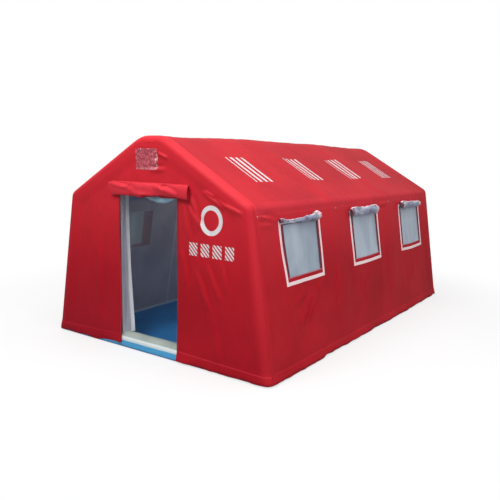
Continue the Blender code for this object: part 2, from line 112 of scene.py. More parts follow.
class Value:
    """A shader socket that takes part in ordinary sums"""

    def __init__(self, wiring, socket):
        self.wiring = wiring
        self.socket = socket

    def sum(self, operation, *values):
        return self.wiring.add("ShaderNodeMath", {"operation": operation}, dict(enumerate(values)))

    def __add__(self, other):
        return self.sum("ADD", self, other)

    def __sub__(self, other):
        return self.sum("SUBTRACT", self, other)

    def __rsub__(self, other):
        return self.sum("SUBTRACT", other, self)

    def __mul__(self, other):
        return self.sum("MULTIPLY", self, other)

    def __truediv__(self, other):
        return self.sum("DIVIDE", self, other)

    def __abs__(self):
        return self.sum("ABSOLUTE", self)

    __radd__ = __add__
    __rmul__ = __mul__

    def at_least(self, other):
        return self.sum("MAXIMUM", self, other)

    def at_most(self, other):
        return self.sum("MINIMUM", self, other)

    def root(self):
        return self.sum("SQRT", self)

    def waves(self, pitch):
        """A sine wave that repeats every pitch"""
        return self.sum("SINE", self * (2 * math.pi / pitch))

    def step(self, low, high):
        """0 below low and 1 above high, rising smoothly between them"""
        return self.wiring.add("ShaderNodeMapRange", {"interpolation_type": "SMOOTHSTEP"},
                               {"Value": self, "From Min": low, "From Max": high})

    def within(self, middle, half, edge):
        """1 within half of the middle and 0 beyond, with a soft edge that is a share of half"""
        return (1 - abs(self - middle) / half).step(0, edge)


class Wiring:
    """The nodes of a material or of the world"""

    def __init__(self, tree):
        self.tree = tree

    def add(self, kind, settings=None, sockets=None, output=0):
        """Adds a node of a kind, sets it up, fills its sockets and gives one of its outputs"""
        node = self.tree.nodes.new(kind)
        for name, setting in (settings or {}).items():
            setattr(node, name, setting)
        for name, value in (sockets or {}).items():
            self.fill(node.inputs[name], value)
        return Value(self, node.outputs[output])

    def fill(self, socket, value):
        if isinstance(value, Value):
            self.tree.links.new(value.socket, socket)
        else:
            socket.default_value = value


class Finish(Wiring):
    """A Principled material whose textures follow the tent's own metres"""

    def __init__(self, name, colour, **constants):
        self.material = bpy.data.materials.new(name)
        self.material.use_nodes = True
        super().__init__(self.material.node_tree)
        self.shader = self.tree.nodes["Principled BSDF"]
        self.colour = colour
        for socket, value in {"Base_Color": colour, **constants}.items():
            self.set(socket.replace("_", " "), value)
        self.place = self.add("ShaderNodeTexCoord", output="Object")

    def set(self, socket, value):
        self.fill(self.shader.inputs[socket], value)

    def along(self, axis):
        return self.add("ShaderNodeSeparateXYZ", None, {0: self.place}, "XYZ".index(axis))

    def noise(self, scale, stretch=(1, 1, 1), detail=2.0, shift=0.0):
        """Cloudy values round 0.5; scale is in clouds a metre, and stretch lengthens them"""
        squeezed = tuple(scale / s for s in stretch)
        place = self.add("ShaderNodeVectorMath", {"operation": "MULTIPLY_ADD"},
                         {0: self.place, 1: squeezed, 2: (shift, shift, shift)})
        return self.add("ShaderNodeTexNoise", None, {"Vector": place, "Scale": 1.0, "Detail": detail})

    def mix(self, first, second, share):
        return self.add("ShaderNodeMix", {"data_type": "RGBA"}, {0: share, 6: first, 7: second}, 2)

    def paint(self, colour, share):
        """Lays a colour over the base colour so far, by a share"""
        self.colour = self.mix(self.colour, colour, share)
        self.set("Base Color", self.colour)

    def threads(self, pitch):
        """Raised threads that cross each other, on a face turned any way"""
        return self.along("X").waves(pitch) + self.along("Y").waves(pitch) + self.along("Z").waves(pitch)

    def raise_by(self, height, distance, strength=1.0):
        """Bumps the surface by a height, in metres where distance is 1"""
        normal = self.add("ShaderNodeBump", None,
                          {"Height": height, "Distance": distance, "Strength": strength})
        self.set("Normal", normal)


def camera_ray(wiring):
    """1 for what the camera sees and 0 for light on its way"""
    return wiring.add("ShaderNodeLightPath", output="Is Camera Ray")


surround = bpy.data.worlds.new("surround")
surround.use_nodes = True
scene.world = surround
sky = Wiring(surround.node_tree)
direction = sky.add("ShaderNodeTexCoord", output="Generated")
height = sky.add("ShaderNodeSeparateXYZ", None, {0: direction}, "Z")
lit = height.step(*HORIZON) * (SKY_LIGHT - SIDE_LIGHT) + SIDE_LIGHT
background = surround.node_tree.nodes["Background"]
background.inputs["Color"].default_value = (1, 1, 1, 1)
sky.fill(background.inputs["Strength"], lit.at_least(camera_ray(sky)))

for name, place, target, size, power in PANELS:
    lamp = bpy.data.lights.new(name, "AREA")
    lamp.size = size
    lamp.energy = power
    panel = bpy.data.objects.new(name, lamp)
    panel.location = place
    panel.rotation_euler = (Vector(target) - Vector(place)).to_track_quat("-Z", "Y").to_euler()
    scene.collection.objects.link(panel)

ground = Finish("white_ground", GROUND_BOUNCE, Roughness=1.0, Specular_IOR_Level=0.0)
seen = camera_ray(ground)
ground.paint(GROUND_WHITE, seen)
distance = ground.add("ShaderNodeVectorMath", {"operation": "LENGTH"}, {0: ground.place}, "Value")
whiten = seen * (distance.step(*GROUND_FADE) * (1 - GROUND_GLOW) + GROUND_GLOW)
lit_ground = Value(ground, ground.shader.outputs[0])
glow = ground.add("ShaderNodeEmission")
blend = ground.add("ShaderNodeMixShader", None, {0: whiten, 1: lit_ground, 2: glow})
ground.fill(ground.tree.nodes["Material Output"].inputs["Surface"], blend)
half = GROUND_SIZE / 2
mesh = bpy.data.meshes.new("white_ground")
corners = [(-half, -half, 0), (half, -half, 0), (half, half, 0), (-half, half, 0)]
mesh.from_pydata(corners, [], [(0, 1, 2, 3)])
mesh.materials.append(ground.material)
floor = bpy.data.objects.new("white_ground", mesh)
floor.location.z = cad_low.z - GROUND_GAP
scene.collection.objects.link(floor)


# Ground sheet: blue coated cloth, welded into a shallow tray that the base tube lies in. It is
# laid out first. Its lip shows in the doorway below the tube, and where the cover's hem lifts.
SHEET_BLUE = (0.036, 0.26, 0.64, 1)
SHEET_SHADE = (0.03, 0.21, 0.54, 1)
LIP_LIT_BLUE = (0.1, 0.52, 0.95, 1)
SHEET_THICKNESS = 0.0015
SHEET_CORNER = 0.078
SHEET_MARGIN = 0.0004
LIP_PROFILE = ((0.0, 1.0), (0.0004, 0.8), (0.0012, 0.5), (0.0014, 0.2), (0.005, 0.07))
FLOOR_HEIGHT = 0.0035
FLOOR_STEP = 0.06
FLOOR_WAVE = 0.002
LIP_WAVE = 0.006


def rise(values, low, high):
    """0 below low and 1 above high, rising smoothly between them"""
    share = np.clip((values - low) / (high - low), 0, 1)
    return share * share * (3 - 2 * share)


def clouds(points, sizes, seed):
    """Soft noise, about -0.7 to 0.7, at points; sizes are its clouds' widths along X, Y and Z"""
    places = (points / np.array(sizes) + seed).reshape(-1, 3).tolist()
    return np.array([noise.noise(place) for place in places]).reshape(points.shape[:-1])


def creases(points, sizes, seed):
    """Sharp crests, up to 1, between hollows, as in crumpled cloth or film"""
    return 1 - np.minimum(1, 3 * np.abs(clouds(points, sizes, seed)))


def grid_of(x, y, z):
    """A grid of points from its x, y and z, each spread over the rows or columns that it lacks"""
    return np.stack(np.broadcast_arrays(x, y, z), -1)


def grid_faces(rows, columns, cut=None):
    """Faces of a grid of points, as four point numbers each, without those where cut is true"""
    first = np.arange((rows - 1) * columns).reshape(-1, columns)[:, :-1]
    faces = np.stack([first, first + 1, first + columns + 1, first + columns], -1)
    return faces.reshape(-1, 4) if cut is None else faces[~cut]


def add_piece(name, grids, finish, nodes=(), body="root", thickness=0.0):
    """
    A piece made of grids of points, each given alone or with its cut-out faces. It faces the way
    that its columns turn to its rows, takes its thickness behind that, and stands for its nodes.
    """
    points, faces, start = [], [], 0
    for grid in grids:
        place, cut = grid if isinstance(grid, tuple) else (grid, None)
        points.append(place.reshape(-1, 3))
        faces.append(grid_faces(*place.shape[:2], cut) + start)
        start += len(points[-1])
    mesh = bpy.data.meshes.new(name)
    mesh.from_pydata(np.concatenate(points).tolist(), [], np.concatenate(faces).tolist())
    bm = bmesh.new()
    bm.from_mesh(mesh)
    bmesh.ops.remove_doubles(bm, verts=bm.verts, dist=1e-6)
    bmesh.ops.delete(bm, geom=[v for v in bm.verts if not v.link_faces], context="VERTS")
    bm.to_mesh(mesh)
    bm.free()
    mesh.materials.append(finish.material)
    mesh.shade_smooth()
    piece = bpy.data.objects.new(name, mesh)
    scene.collection.objects.link(piece)
    if thickness:
        wall = piece.modifiers.new("thickness", "SOLIDIFY")
        wall.thickness = thickness
        wall.offset = -1
        thickened = piece.evaluated_get(bpy.context.evaluated_depsgraph_get())
        thick = bpy.data.meshes.new_from_object(thickened)
        piece.modifiers.clear()
        piece.data = thick
        bpy.data.meshes.remove(mesh)
        thick.name = name
    piece.data.set_sharp_from_angle(angle=math.radians(60))
    if nodes:
        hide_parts(*nodes)
    if body:
        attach(piece, body)
    return piece


def cloth(name, colour, shade, roughness=0.6, pitch=0.002, patches=1.5, **constants):
    """Woven cloth: unevenly dyed in patches, with threads that cross"""
    finish = Finish(name, colour, Roughness=roughness, **constants)
    finish.paint(shade, finish.noise(patches, detail=4.0).step(0.35, 0.7))
    finish.weave = finish.threads(pitch)
    finish.raise_by(finish.weave + finish.noise(25, detail=3.0) * 6, 0.0004, 0.35)
    return finish


def rounded_ring(half_x, half_y, radius, steps_x=58, steps_y=94, steps_round=6):
    """Points round a level rectangle with rounded corners, anticlockwise and closed"""
    arcs = []
    for side_x, side_y, start in ((1, -1, -90), (1, 1, 0), (-1, 1, 90), (-1, -1, 180)):
        angle = np.radians(start + np.linspace(0, 90, steps_round + 1))
        arcs.append(np.stack([side_x * (half_x - radius) + radius * np.cos(angle),
                              side_y * (half_y - radius) + radius * np.sin(angle)], 1))
    points = []
    for k, arc in enumerate(arcs):
        following = arcs[(k + 1) % 4][0]
        share = np.linspace(0, 1, (steps_x if k % 2 else steps_y) + 1)[1:-1, None]
        points += [arc, arc[-1] + (following - arc[-1]) * share]
    return np.concatenate(points + [arcs[0][:1]])


sheet_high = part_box("ground_sheet")[1]
floor_rings = math.ceil(sheet_high.x / FLOOR_STEP)
profile = [(inset, sheet_high.z * share) for inset, share in LIP_PROFILE]
profile += [(sheet_high.x * (0.01 + 0.99 * k / floor_rings), FLOOR_HEIGHT) for k in range(floor_rings + 1)]
tray = []
for inset, height in profile:
    half_x = max(sheet_high.x - inset - SHEET_MARGIN, 0)
    radius = min(max(SHEET_CORNER - inset, 0), half_x)
    ring = rounded_ring(half_x, sheet_high.y - inset - SHEET_MARGIN, radius)
    tray.append(grid_of(*ring.T, height))
tray = np.array(tray)
lip_share = rise(tray[..., 2], FLOOR_HEIGHT, sheet_high.z)
tray[..., 2] -= LIP_WAVE * lip_share * (0.5 + clouds(tray, (0.22, 0.22, 1), 3.1))
floor_share = 1 - lip_share
tray[..., 2] += floor_share * FLOOR_WAVE * (clouds(tray, (0.45, 0.3, 1), 7.7)
                                            + 0.8 * creases(tray, (0.7, 0.5, 1), 1.3) ** 3)
blue_cloth = cloth("ground_sheet_blue", SHEET_BLUE, SHEET_SHADE, roughness=0.4, pitch=0.003)
# Painted highlight: the lip is painted a brighter blue, as it stands in the light while the floor lies in
# shade.
blue_cloth.paint(LIP_LIT_BLUE, blue_cloth.along("Z").step(0.008, 0.03))
ground_sheet = add_piece("ground_sheet_tray", [tray], blue_cloth, ["ground_sheet"],
                         thickness=SHEET_THICKNESS)


# Base tube: one air tube of cream coated cloth right round the foot of the tent, inside the
# tray. Its skin is one strip, closed by a welded tape that runs along its upper side.
# The tube's cream is painted a darker grey-green as painted shade, with a painted highlight low on its outer
# side.
TUBE_CREAM = (0.45, 0.5, 0.46, 1)
TUBE_SHADE = (0.36, 0.42, 0.38, 1)
TUBE_HIGHLIGHT = (0.9, 1.0, 1.0, 1)
HIGHLIGHT_HEIGHTS = (0.13, 0.148)
BASE_BEND = 0.101
TUBE_PUCKER = 0.0035
WELD_HEIGHT = 0.0009
BASE_WELD = (96, 118)


def swept(path, across, radius, angles, closed=False):
    """Rings of points round a flat path; across is square to its plane, angles turn from outside"""
    ahead = np.roll(path, -1, 0) - np.roll(path, 1, 0)
    if closed:
        ahead[0] = ahead[-1] = path[1] - path[-2]
    else:
        ahead[0] = path[1] - path[0]
        ahead[-1] = path[-1] - path[-2]
    ahead /= np.linalg.norm(ahead, axis=1)[:, None]
    side = np.cross(across, ahead)
    turn = np.radians(angles)[None, :, None]
    ring = np.cos(turn) * side[:, None] + np.sin(turn) * np.array(across)
    radius = np.broadcast_to(radius, ring.shape[:2])
    return path[:, None] + ring * radius[..., None]


tube_cloth = cloth("tube_cloth", TUBE_CREAM, TUBE_SHADE, pitch=0.004, patches=2.5)
tube_cloth.set("Roughness", tube_cloth.noise(6, detail=3.0) * 0.2 + 0.28)
# Painted highlight: near-white along the tube's lower outer side.
tube_cloth.paint(TUBE_HIGHLIGHT, 1 - tube_cloth.along("Z").step(*HIGHLIGHT_HEIGHTS))
tube_low, tube_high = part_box("base_tube")
tube_radius = (tube_high.z - tube_low.z) / 2
base_centre = (tube_high.z + tube_low.z) / 2
base_ring = rounded_ring(tube_high.x - tube_radius, tube_high.y - tube_radius, BASE_BEND, 70, 110, 12)
base_path = grid_of(*base_ring.T, base_centre)
corner = np.minimum(rise(abs(base_path[:, 0]), 1.42, 1.6), rise(abs(base_path[:, 1]), 2.55, 2.73))
all_round = np.linspace(0, 360, 33)
smooth_tube = swept(base_path, (0, 0, 1), tube_radius, all_round, closed=True)
pucker = creases(smooth_tube, (0.035, 0.035, 0.3), 5.2) * corner[:, None]
base_skin = swept(base_path, (0, 0, 1), tube_radius - TUBE_PUCKER * pucker, all_round, closed=True)
weld_angles = np.linspace(*BASE_WELD, 4)
base_weld = swept(base_path, (0, 0, 1), tube_radius + WELD_HEIGHT, weld_angles, closed=True)
base_tube = add_piece("base_air_tube", [base_skin, base_weld], tube_cloth, ["base_tube"])


# Arches: four air tubes that stand on the base tube, each cut and welded to a bend at the eaves
# and rounded over the ridge. The cover lies on their outer side and the inner tent hangs inside.
BASE_HALF_WIDTH = 1.742
EAVE_HALF_WIDTH = 1.437
EAVE_HEIGHT = 1.911
PEAK_HEIGHT = 2.747
RIDGE_RADIUS = 0.477
ARCH_INSET = 0.1018
ARCH_BEND = 0.065
ARCH_FOOT = 0.15
ARCH_COUNT = 4
ARCH_DOME = 0.03
FRONT_DIP = 0.032
REAR_DIP = 0.022
DIP_REACH = 0.17
WALL_ANGLE = math.atan2(EAVE_HEIGHT, EAVE_HALF_WIDTH - BASE_HALF_WIDTH)
ROOF_SLOPE = math.atan2(PEAK_HEIGHT - EAVE_HEIGHT, EAVE_HALF_WIDTH)
ROOF_ANGLE = math.pi - ROOF_SLOPE


def heading(angle):
    return np.stack([np.cos(angle), np.sin(angle)], -1)


def facing(angle):
    return np.stack([np.sin(angle), -np.cos(angle)], -1)


class Section:
    """
    Right half of the tent's section moved in by inset: wall, rounded eave, roof slope and half the
    rounded ridge. Places on it are given by u, the distance up the wall and roof from the ground.
    """

    def __init__(self, inset, eave_radius, ridge_radius):
        self.eave_radius = eave_radius
        self.ridge_radius = ridge_radius
        self.foot = np.array([BASE_HALF_WIDTH - inset / math.sin(WALL_ANGLE), 0.0])
        peak = np.array([0.0, PEAK_HEIGHT - inset / math.cos(ROOF_SLOPE)])
        climbs = np.array([heading(WALL_ANGLE), -heading(ROOF_ANGLE)]).T
        wall, roof = np.linalg.solve(climbs, peak - self.foot)
        eave_cut = eave_radius * math.tan((ROOF_ANGLE - WALL_ANGLE) / 2)
        ridge_cut = ridge_radius * math.tan(ROOF_SLOPE)
        self.wall_end = wall - eave_cut
        self.roof_start = self.wall_end + eave_radius * (ROOF_ANGLE - WALL_ANGLE)
        self.roof_end = self.roof_start - roof - eave_cut - ridge_cut
        self.apex = self.roof_end + ridge_radius * ROOF_SLOPE

    def at(self, u):
        """Points (x, z) and the directions that they face, at distances u"""
        eave = WALL_ANGLE + np.clip((u - self.wall_end) / self.eave_radius, 0, ROOF_ANGLE - WALL_ANGLE)
        ridge = ROOF_ANGLE + np.clip((u - self.roof_end) / self.ridge_radius, 0, ROOF_SLOPE)
        up_wall = np.minimum(u, self.wall_end)[:, None] * heading(WALL_ANGLE)
        up_roof = np.clip(u - self.roof_start, 0, self.roof_end - self.roof_start)[:, None]
        points = (self.foot + up_wall + self.eave_radius * (facing(eave) - facing(WALL_ANGLE))
                  + up_roof * heading(ROOF_ANGLE) + self.ridge_radius * (facing(ridge) - facing(ROOF_ANGLE)))
        return points, facing(eave + ridge - ROOF_ANGLE)


def ridge_dip(y):
    """How far the soft ridge lies lower towards the ends of the tent"""
    return FRONT_DIP * rise(-y, 1.2, 2.7) + REAR_DIP * rise(y, 1.2, 2.7)


def dip(from_apex, y):
    """The same, at a distance from the ridge along the roof"""
    return ridge_dip(y) * np.exp(-(from_apex / DIP_REACH) ** 2)


def spaced(marks, spacing):
    """Every mark, and points between the marks that are no further apart than spacing"""
    runs = [np.linspace(a, b, math.ceil((b - a) / spacing - 1e-6) + 1)[:-1] for a, b in zip(marks, marks[1:])]
    return np.append(np.concatenate(runs), marks[-1])


def domed(path, radius, depth):
    """A path and its radii with a rounded end added at each end"""
    back = (path[0] - path[1]) / np.linalg.norm(path[0] - path[1])
    ahead = (path[-1] - path[-2]) / np.linalg.norm(path[-1] - path[-2])
    turn = np.radians([90, 65, 40, 15])[:, None]
    start = path[0] + back * depth * np.sin(turn)
    end = (path[-1] + ahead * depth * np.sin(turn))[::-1]
    closing = np.cos(turn[:, 0])
    closing[0] = 0
    radii = np.concatenate([closing, np.ones(len(path)), closing[::-1]]) * radius
    return np.concatenate([start, path, end]), radii


arch_line = Section(ARCH_INSET, ARCH_BEND, RIDGE_RADIUS - ARCH_INSET)
arch_radius = (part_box("arch_1")[1].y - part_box("arch_1")[0].y) / 2
arch_places = [sum(c.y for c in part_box(f"arch_{k + 1}")) / 2 for k in range(ARCH_COUNT)]
u = spaced([ARCH_FOOT, arch_line.wall_end - 0.12, arch_line.roof_start + 0.12, arch_line.apex], 0.04)
u = np.unique(np.concatenate([u, spaced([arch_line.wall_end - 0.12, arch_line.roof_start + 0.12], 0.012)]))
half, _ = arch_line.at(u)
bend = np.exp(-((u - (arch_line.wall_end + arch_line.roof_start) / 2) / 0.09) ** 2)
bend = np.concatenate([[0] * 4, bend, bend[-2::-1], [0] * 4])
for number, y in enumerate(arch_places, 1):
    half_path = grid_of(half[:, 0], y, half[:, 1] - dip(u - arch_line.apex, y))
    arch_path = np.concatenate([half_path, half_path[-2::-1] * (-1, 1, 1)])
    path, arch_radii = domed(arch_path, arch_radius, ARCH_DOME)
    angles = np.linspace(0, 360, 29)
    smooth_tube = swept(path, (0, 1, 0), arch_radii[:, None], angles)
    inside = 0.5 - 0.5 * np.cos(np.radians(angles))
    pucker = creases(smooth_tube, (0.03, 0.2, 0.03), number * 3.7) * bend[:, None] * inside
    skin = swept(path, (0, 1, 0), arch_radii[:, None] * (1 - 0.1 * pucker), angles)
    arch = add_piece(f"arch_air_tube_{number}", [skin], tube_cloth, [f"arch_{number}"])


# Spacer tubes: short air tubes welded between the arches, one run at the ridge and one at each
# eave. A collar of the same coated cloth is welded round each end, where it meets its arch.
COLLAR_LENGTH = 0.035
COLLAR_HEIGHT = 0.0015

for run in ("ridge_tube", "eave_tube_right", "eave_tube_left"):
    for bay in range(1, ARCH_COUNT):
        low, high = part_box(f"{run}_{bay}")
        middle, radius = (low + high) / 2, (high.z - low.z) / 2
        y = spaced([low.y, low.y + COLLAR_LENGTH, high.y - COLLAR_LENGTH, high.y], 0.05)
        y = np.sort(np.concatenate([y, [low.y + COLLAR_LENGTH + 0.001, high.y - COLLAR_LENGTH - 0.001]]))
        path = grid_of(middle.x, y, middle.z - ridge_dip(y) * (run == "ridge_tube"))
        from_end = np.minimum(y - low.y, high.y - y)
        radii = radius - 0.002 + COLLAR_HEIGHT * (from_end <= COLLAR_LENGTH)
        path, ends = domed(path, 1.0, 0.004)
        radii = np.concatenate([radii[:1].repeat(4), radii, radii[-1:].repeat(4)]) * ends
        skin = swept(path, (0, 0, 1), radii[:, None], np.linspace(0, 360, 25))
        spacer = add_piece(f"{run}_skin_{bay}", [skin], tube_cloth, [f"{run}_{bay}"])


# Valves: moulded black plastic on the rear run of the base tube, reached from inside. The one
# for filling has a neck and a red screw cap, and the other lets out air when the sun heats it.
VALVE_BLACK = (0.02, 0.02, 0.022, 1)
CAP_RED = (0.5, 0.012, 0.02, 1)


def moulded(name, colour, roughness):
    """Moulded plastic with a fine grain"""
    finish = Finish(name, colour)
    finish.set("Roughness", finish.noise(120) * 0.15 + roughness)
    finish.raise_by(finish.noise(900), 0.0002, 0.4)
    return finish


def turned(name, node, profile, finish, body="root", ribs=0):
    """A turned piece in a node's place, along -Y; its profile is shares of length and of radius"""
    low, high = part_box(node)
    shares = np.array(profile)
    y = high.y - (high.y - low.y) * shares[:, 0]
    path = grid_of((low.x + high.x) / 2, y - np.arange(len(y)) * 1e-6, (low.z + high.z) / 2)
    angles = np.linspace(0, 360, 97 if ribs else 49)
    grip = 1 - 0.03 * (np.sin(np.radians(angles) * ribs) > 0) if ribs else 1
    points = swept(path, (0, 0, 1), shares[:, 1:] * (high.x - low.x) / 2 * grip, angles)
    return add_piece(name, [points], finish, [node], body)


black_plastic = moulded("valve_black_plastic", VALVE_BLACK, 0.35)
red_plastic = moulded("valve_cap_plastic", CAP_RED, 0.25)
inflation = [(0, 0), (0, 0.97), (0.02, 1), (0.07, 1), (0.09, 0.97), (0.1, 0.75), (0.11, 0.62), (0.2, 0.59),
             (0.95, 0.59), (1, 0.55), (1, 0.45), (0.6, 0.42), (0.6, 0)]
turned("inflation_valve_body", "inflation_valve", inflation, black_plastic)
relief = [(0, 0), (0, 0.97), (0.02, 1), (0.1, 1), (0.12, 0.97), (0.14, 0.8), (0.16, 0.66), (0.5, 0.64),
          (0.54, 0.58), (0.6, 0.58), (0.64, 0.64), (0.93, 0.64), (1, 0.56), (1, 0.2), (0.92, 0.16), (0.92, 0)]
turned("relief_valve_body", "relief_valve", relief, black_plastic)
screw_cap = [(0, 0.78), (0, 0.95), (0.06, 1), (0.8, 1), (0.95, 0.94), (1, 0.85), (1, 0.3), (0.96, 0.26),
             (0.96, 0), (0.86, 0), (0.86, 0.78), (0, 0.78)]
turned("inflation_valve_screw_cap", "inflation_valve_cap", screw_cap, red_plastic,
       body="valve_cap", ribs=24)


# Inner tent: thin grey-white woven cloth, hung from the arches by ties. It is one long shell with
# the window openings cut in it and a flat panel at each end, and a pale skirt along its foot.
LINER_GREY = (0.62, 0.57, 0.59, 1)
LINER_SHADE = (0.48, 0.44, 0.47, 1)
SKIRT_WHITE = (0.8, 0.82, 0.84, 1)
LINER_THICKNESS = 0.001
LINER_STEP = 0.06
LINER_SAG = 0.012
LINER_WAVE = 0.009
LINER_JOIN = 0.014
LINER_EAVE_RADIUS = 0.03
SKIRT_HEIGHT = 0.05
WINDOW_PLACES = (-1.855, 0.0, 1.855)
WINDOW_SILL = 0.985
WINDOW_HALF_WIDTH = 0.5
WINDOW_TOP = 1.75
TAPE_WIDTH = 0.052
BAND_WIDTH = 0.052
PANE_HALF_WIDTH = WINDOW_HALF_WIDTH - TAPE_WIDTH - BAND_WIDTH
PANE_SILL = WINDOW_SILL + TAPE_WIDTH + BAND_WIDTH
PANE_TOP = WINDOW_TOP - TAPE_WIDTH
DOOR_LEFT = -0.511
DOOR_RIGHT = 0.429
DOOR_TOP = 1.93
DOOR_SHARE = 0.5
DOOR_HEIGHTS = (0.1, 1.93)
LEFT_SHIFTS = (0.018, -0.004)
RIGHT_SHIFTS = (0.01, -0.016)
INNER_INSET = 0.028
VALVE_SHARE = 0.85
PATCH_RADIUS = 0.055
PATCH_LIFT = 0.004
JAMB_HEIGHTS = (0.0, 0.24, 1.0, 1.58, 1.93)
JAMB_SHIFTS = (0.037, 0.035, -0.032, -0.058, -0.062)
JAMB_SET_BACK = 0.012


def window_sides(half_width):
    """Where the sides of a wall's windows lie along it"""
    return [place + side * half_width for place in WINDOW_PLACES for side in (-1, 1)]


def over_tent(section, u, y, side):
    """A grid up the tent's right half, or its left for side -1, and the way that each row faces"""
    points, out = section.at(u)
    return grid_of(side * points[:, :1], y, points[:, 1:]), grid_of(side * out[:, :1], 0, out[:, 1:])


def window_cut(u, y, sill, top, half_width):
    """Which faces of a grid lie in the windows, for rows u up a wall and columns y"""
    u_middle = (u[1:] + u[:-1]) / 2
    y_middle = (y[1:] + y[:-1]) / 2
    in_width = np.any([abs(y_middle - place) < half_width for place in WINDOW_PLACES], 0)
    return ((u_middle > sill) & (u_middle < top))[:, None] & in_width


def across_gable(half_width, stops, share, spacing):
    """Points across each row of a gable, in lines through the stops, drawn in where it is narrow"""
    farthest = np.max(np.abs(stops), 0)
    drawn = np.minimum(1, share * half_width / farthest)
    lines = [-half_width, *[stop * drawn for stop in stops], half_width]
    parts = []
    for a, b in zip(lines, lines[1:]):
        count = math.ceil(np.max(b - a) / spacing)
        parts.append(a[:, None] + (b - a)[:, None] * np.linspace(0, 1, count + 1)[:-1])
    return np.concatenate(parts + [half_width[:, None]], 1)


def row_at(section, height):
    """How far up a section its point of a given height is"""
    u = np.linspace(0, section.apex, 4000)
    return np.interp(height, section.at(u)[0][:, 1], u)


def gable_sheet(section, u, y, stops, share):
    """A flat grid that fills a section at -y: rows of points (x, y, z) from left to right"""
    side, _ = section.at(u)
    return grid_of(across_gable(side[:, 0], stops, share, LINER_STEP), -y, side[:, 1:])


def section_area(section, low):
    """Area of a whole section, both halves, above its rows at low"""
    side, _ = section.at(np.linspace(low, section.apex, 400))
    return np.sum((side[1:, 0] + side[:-1, 0]) * np.diff(side[:, 1]))


def door_sides(height):
    """Where the cover's two door edges hang at a height; both lean a little"""
    return (DOOR_LEFT + np.interp(height, DOOR_HEIGHTS, LEFT_SHIFTS),
            DOOR_RIGHT + np.interp(height, DOOR_HEIGHTS, RIGHT_SHIFTS))


def inner_door_sides(height):
    """The same for the inner tent, whose left edge hangs askew and whose right edge is set back"""
    return (DOOR_LEFT + np.interp(height, JAMB_HEIGHTS, JAMB_SHIFTS),
            door_sides(height)[1] + JAMB_SET_BACK)


def doorway_cut(grid, sides):
    """Which faces of a front's grid lie in the doorway; sides are its edges in the first row"""
    x = (grid[0, 1:, 0] + grid[0, :-1, 0]) / 2
    z = (grid[1:, 1:, 2] + grid[:-1, :-1, 2]) / 2
    return (x > sides[0]) & (x < sides[1]) & (z < DOOR_TOP)


liner_cloth = cloth("inner_tent_cloth", LINER_GREY, LINER_SHADE, roughness=0.75, pitch=0.0025)
joins = 1 - liner_cloth.along("Z").step(SKIRT_HEIGHT - 0.004, SKIRT_HEIGHT)
for place in arch_places[1:3]:
    joins = joins + liner_cloth.along("Y").within(place, LINER_JOIN, 0.2) * 0.6
liner_cloth.paint(SKIRT_WHITE, joins)

shell_low, shell_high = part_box("liner_shell")
liner_inset = (BASE_HALF_WIDTH - shell_high.x) * math.sin(WALL_ANGLE) + shell_low.z * math.cos(WALL_ANGLE)
liner = Section(liner_inset, LINER_EAVE_RADIUS, RIDGE_RADIUS - liner_inset)
drop = liner_inset / math.tan(math.pi - WALL_ANGLE)
inner_sill, inner_top = PANE_SILL - drop + INNER_INSET, PANE_TOP - drop - 1.6 * INNER_INSET
inner_half = PANE_HALF_WIDTH - INNER_INSET
liner_u = spaced([shell_low.z, SKIRT_HEIGHT, inner_sill, inner_top, liner.wall_end,
                  liner.roof_start, liner.roof_end, liner.apex], LINER_STEP)
liner_y = spaced([shell_low.y, *window_sides(inner_half), shell_high.y], LINER_STEP)
halves = [over_tent(liner, liner_u, liner_y, side) for side in (1, -1)]
shell, shell_out = [np.concatenate([right, left[-2::-1]]) for right, left in zip(*halves)]
hang = clouds(shell, (0.35, 0.22, 1.2), 4.4) + 0.5 * clouds(shell, (0.2, 0.1, 0.7), 8.1)
from_tie = np.min([abs(liner_y - y) for y in arch_places[1:3]], 0)
sag = LINER_SAG * rise(from_tie, 0.0, 0.5) + LINER_WAVE * (0.6 + hang)
edge = rise(np.minimum(liner_y - shell_low.y, shell_high.y - liner_y), 0, 0.1)
shell = shell - shell_out * (np.maximum(sag, 0) * edge)[..., None]
both_u = np.concatenate([liner_u, liner_u[-2::-1]])
shell_cut = window_cut(both_u, liner_y, inner_sill, inner_top, inner_half)
inner_shell = add_piece("inner_tent_shell", [(shell, shell_cut)], liner_cloth,
                        ["liner_shell"], thickness=LINER_THICKNESS)
shell_flat = (2 * (liner.apex - shell_low.z), shell_high.y - shell_low.y)
openings_area = 2 * len(WINDOW_PLACES) * 2 * inner_half * (inner_top - inner_sill)
shell_flat[0] * shell_flat[1] - openings_area

end_low, end_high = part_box("liner_gable_front")
liner_end = -end_low.y
end_marks = [row_at(liner, DOOR_TOP), liner.roof_end, liner.apex]
end_u = spaced([end_low.z, SKIRT_HEIGHT, *end_marks], LINER_STEP)
door_lines = inner_door_sides(liner.at(end_u)[0][:, 1])
front_liner = gable_sheet(liner, end_u, liner_end, door_lines, DOOR_SHARE)
door_cut = doorway_cut(front_liner, [line[0] for line in door_lines])
front_liner[..., 1] += LINER_WAVE * (0.7 + clouds(front_liner, (0.2, 1, 0.9), 2.2))
front_panel = add_piece("inner_tent_front", [(front_liner, door_cut)], liner_cloth,
                        ["liner_gable_front"], thickness=LINER_THICKNESS)

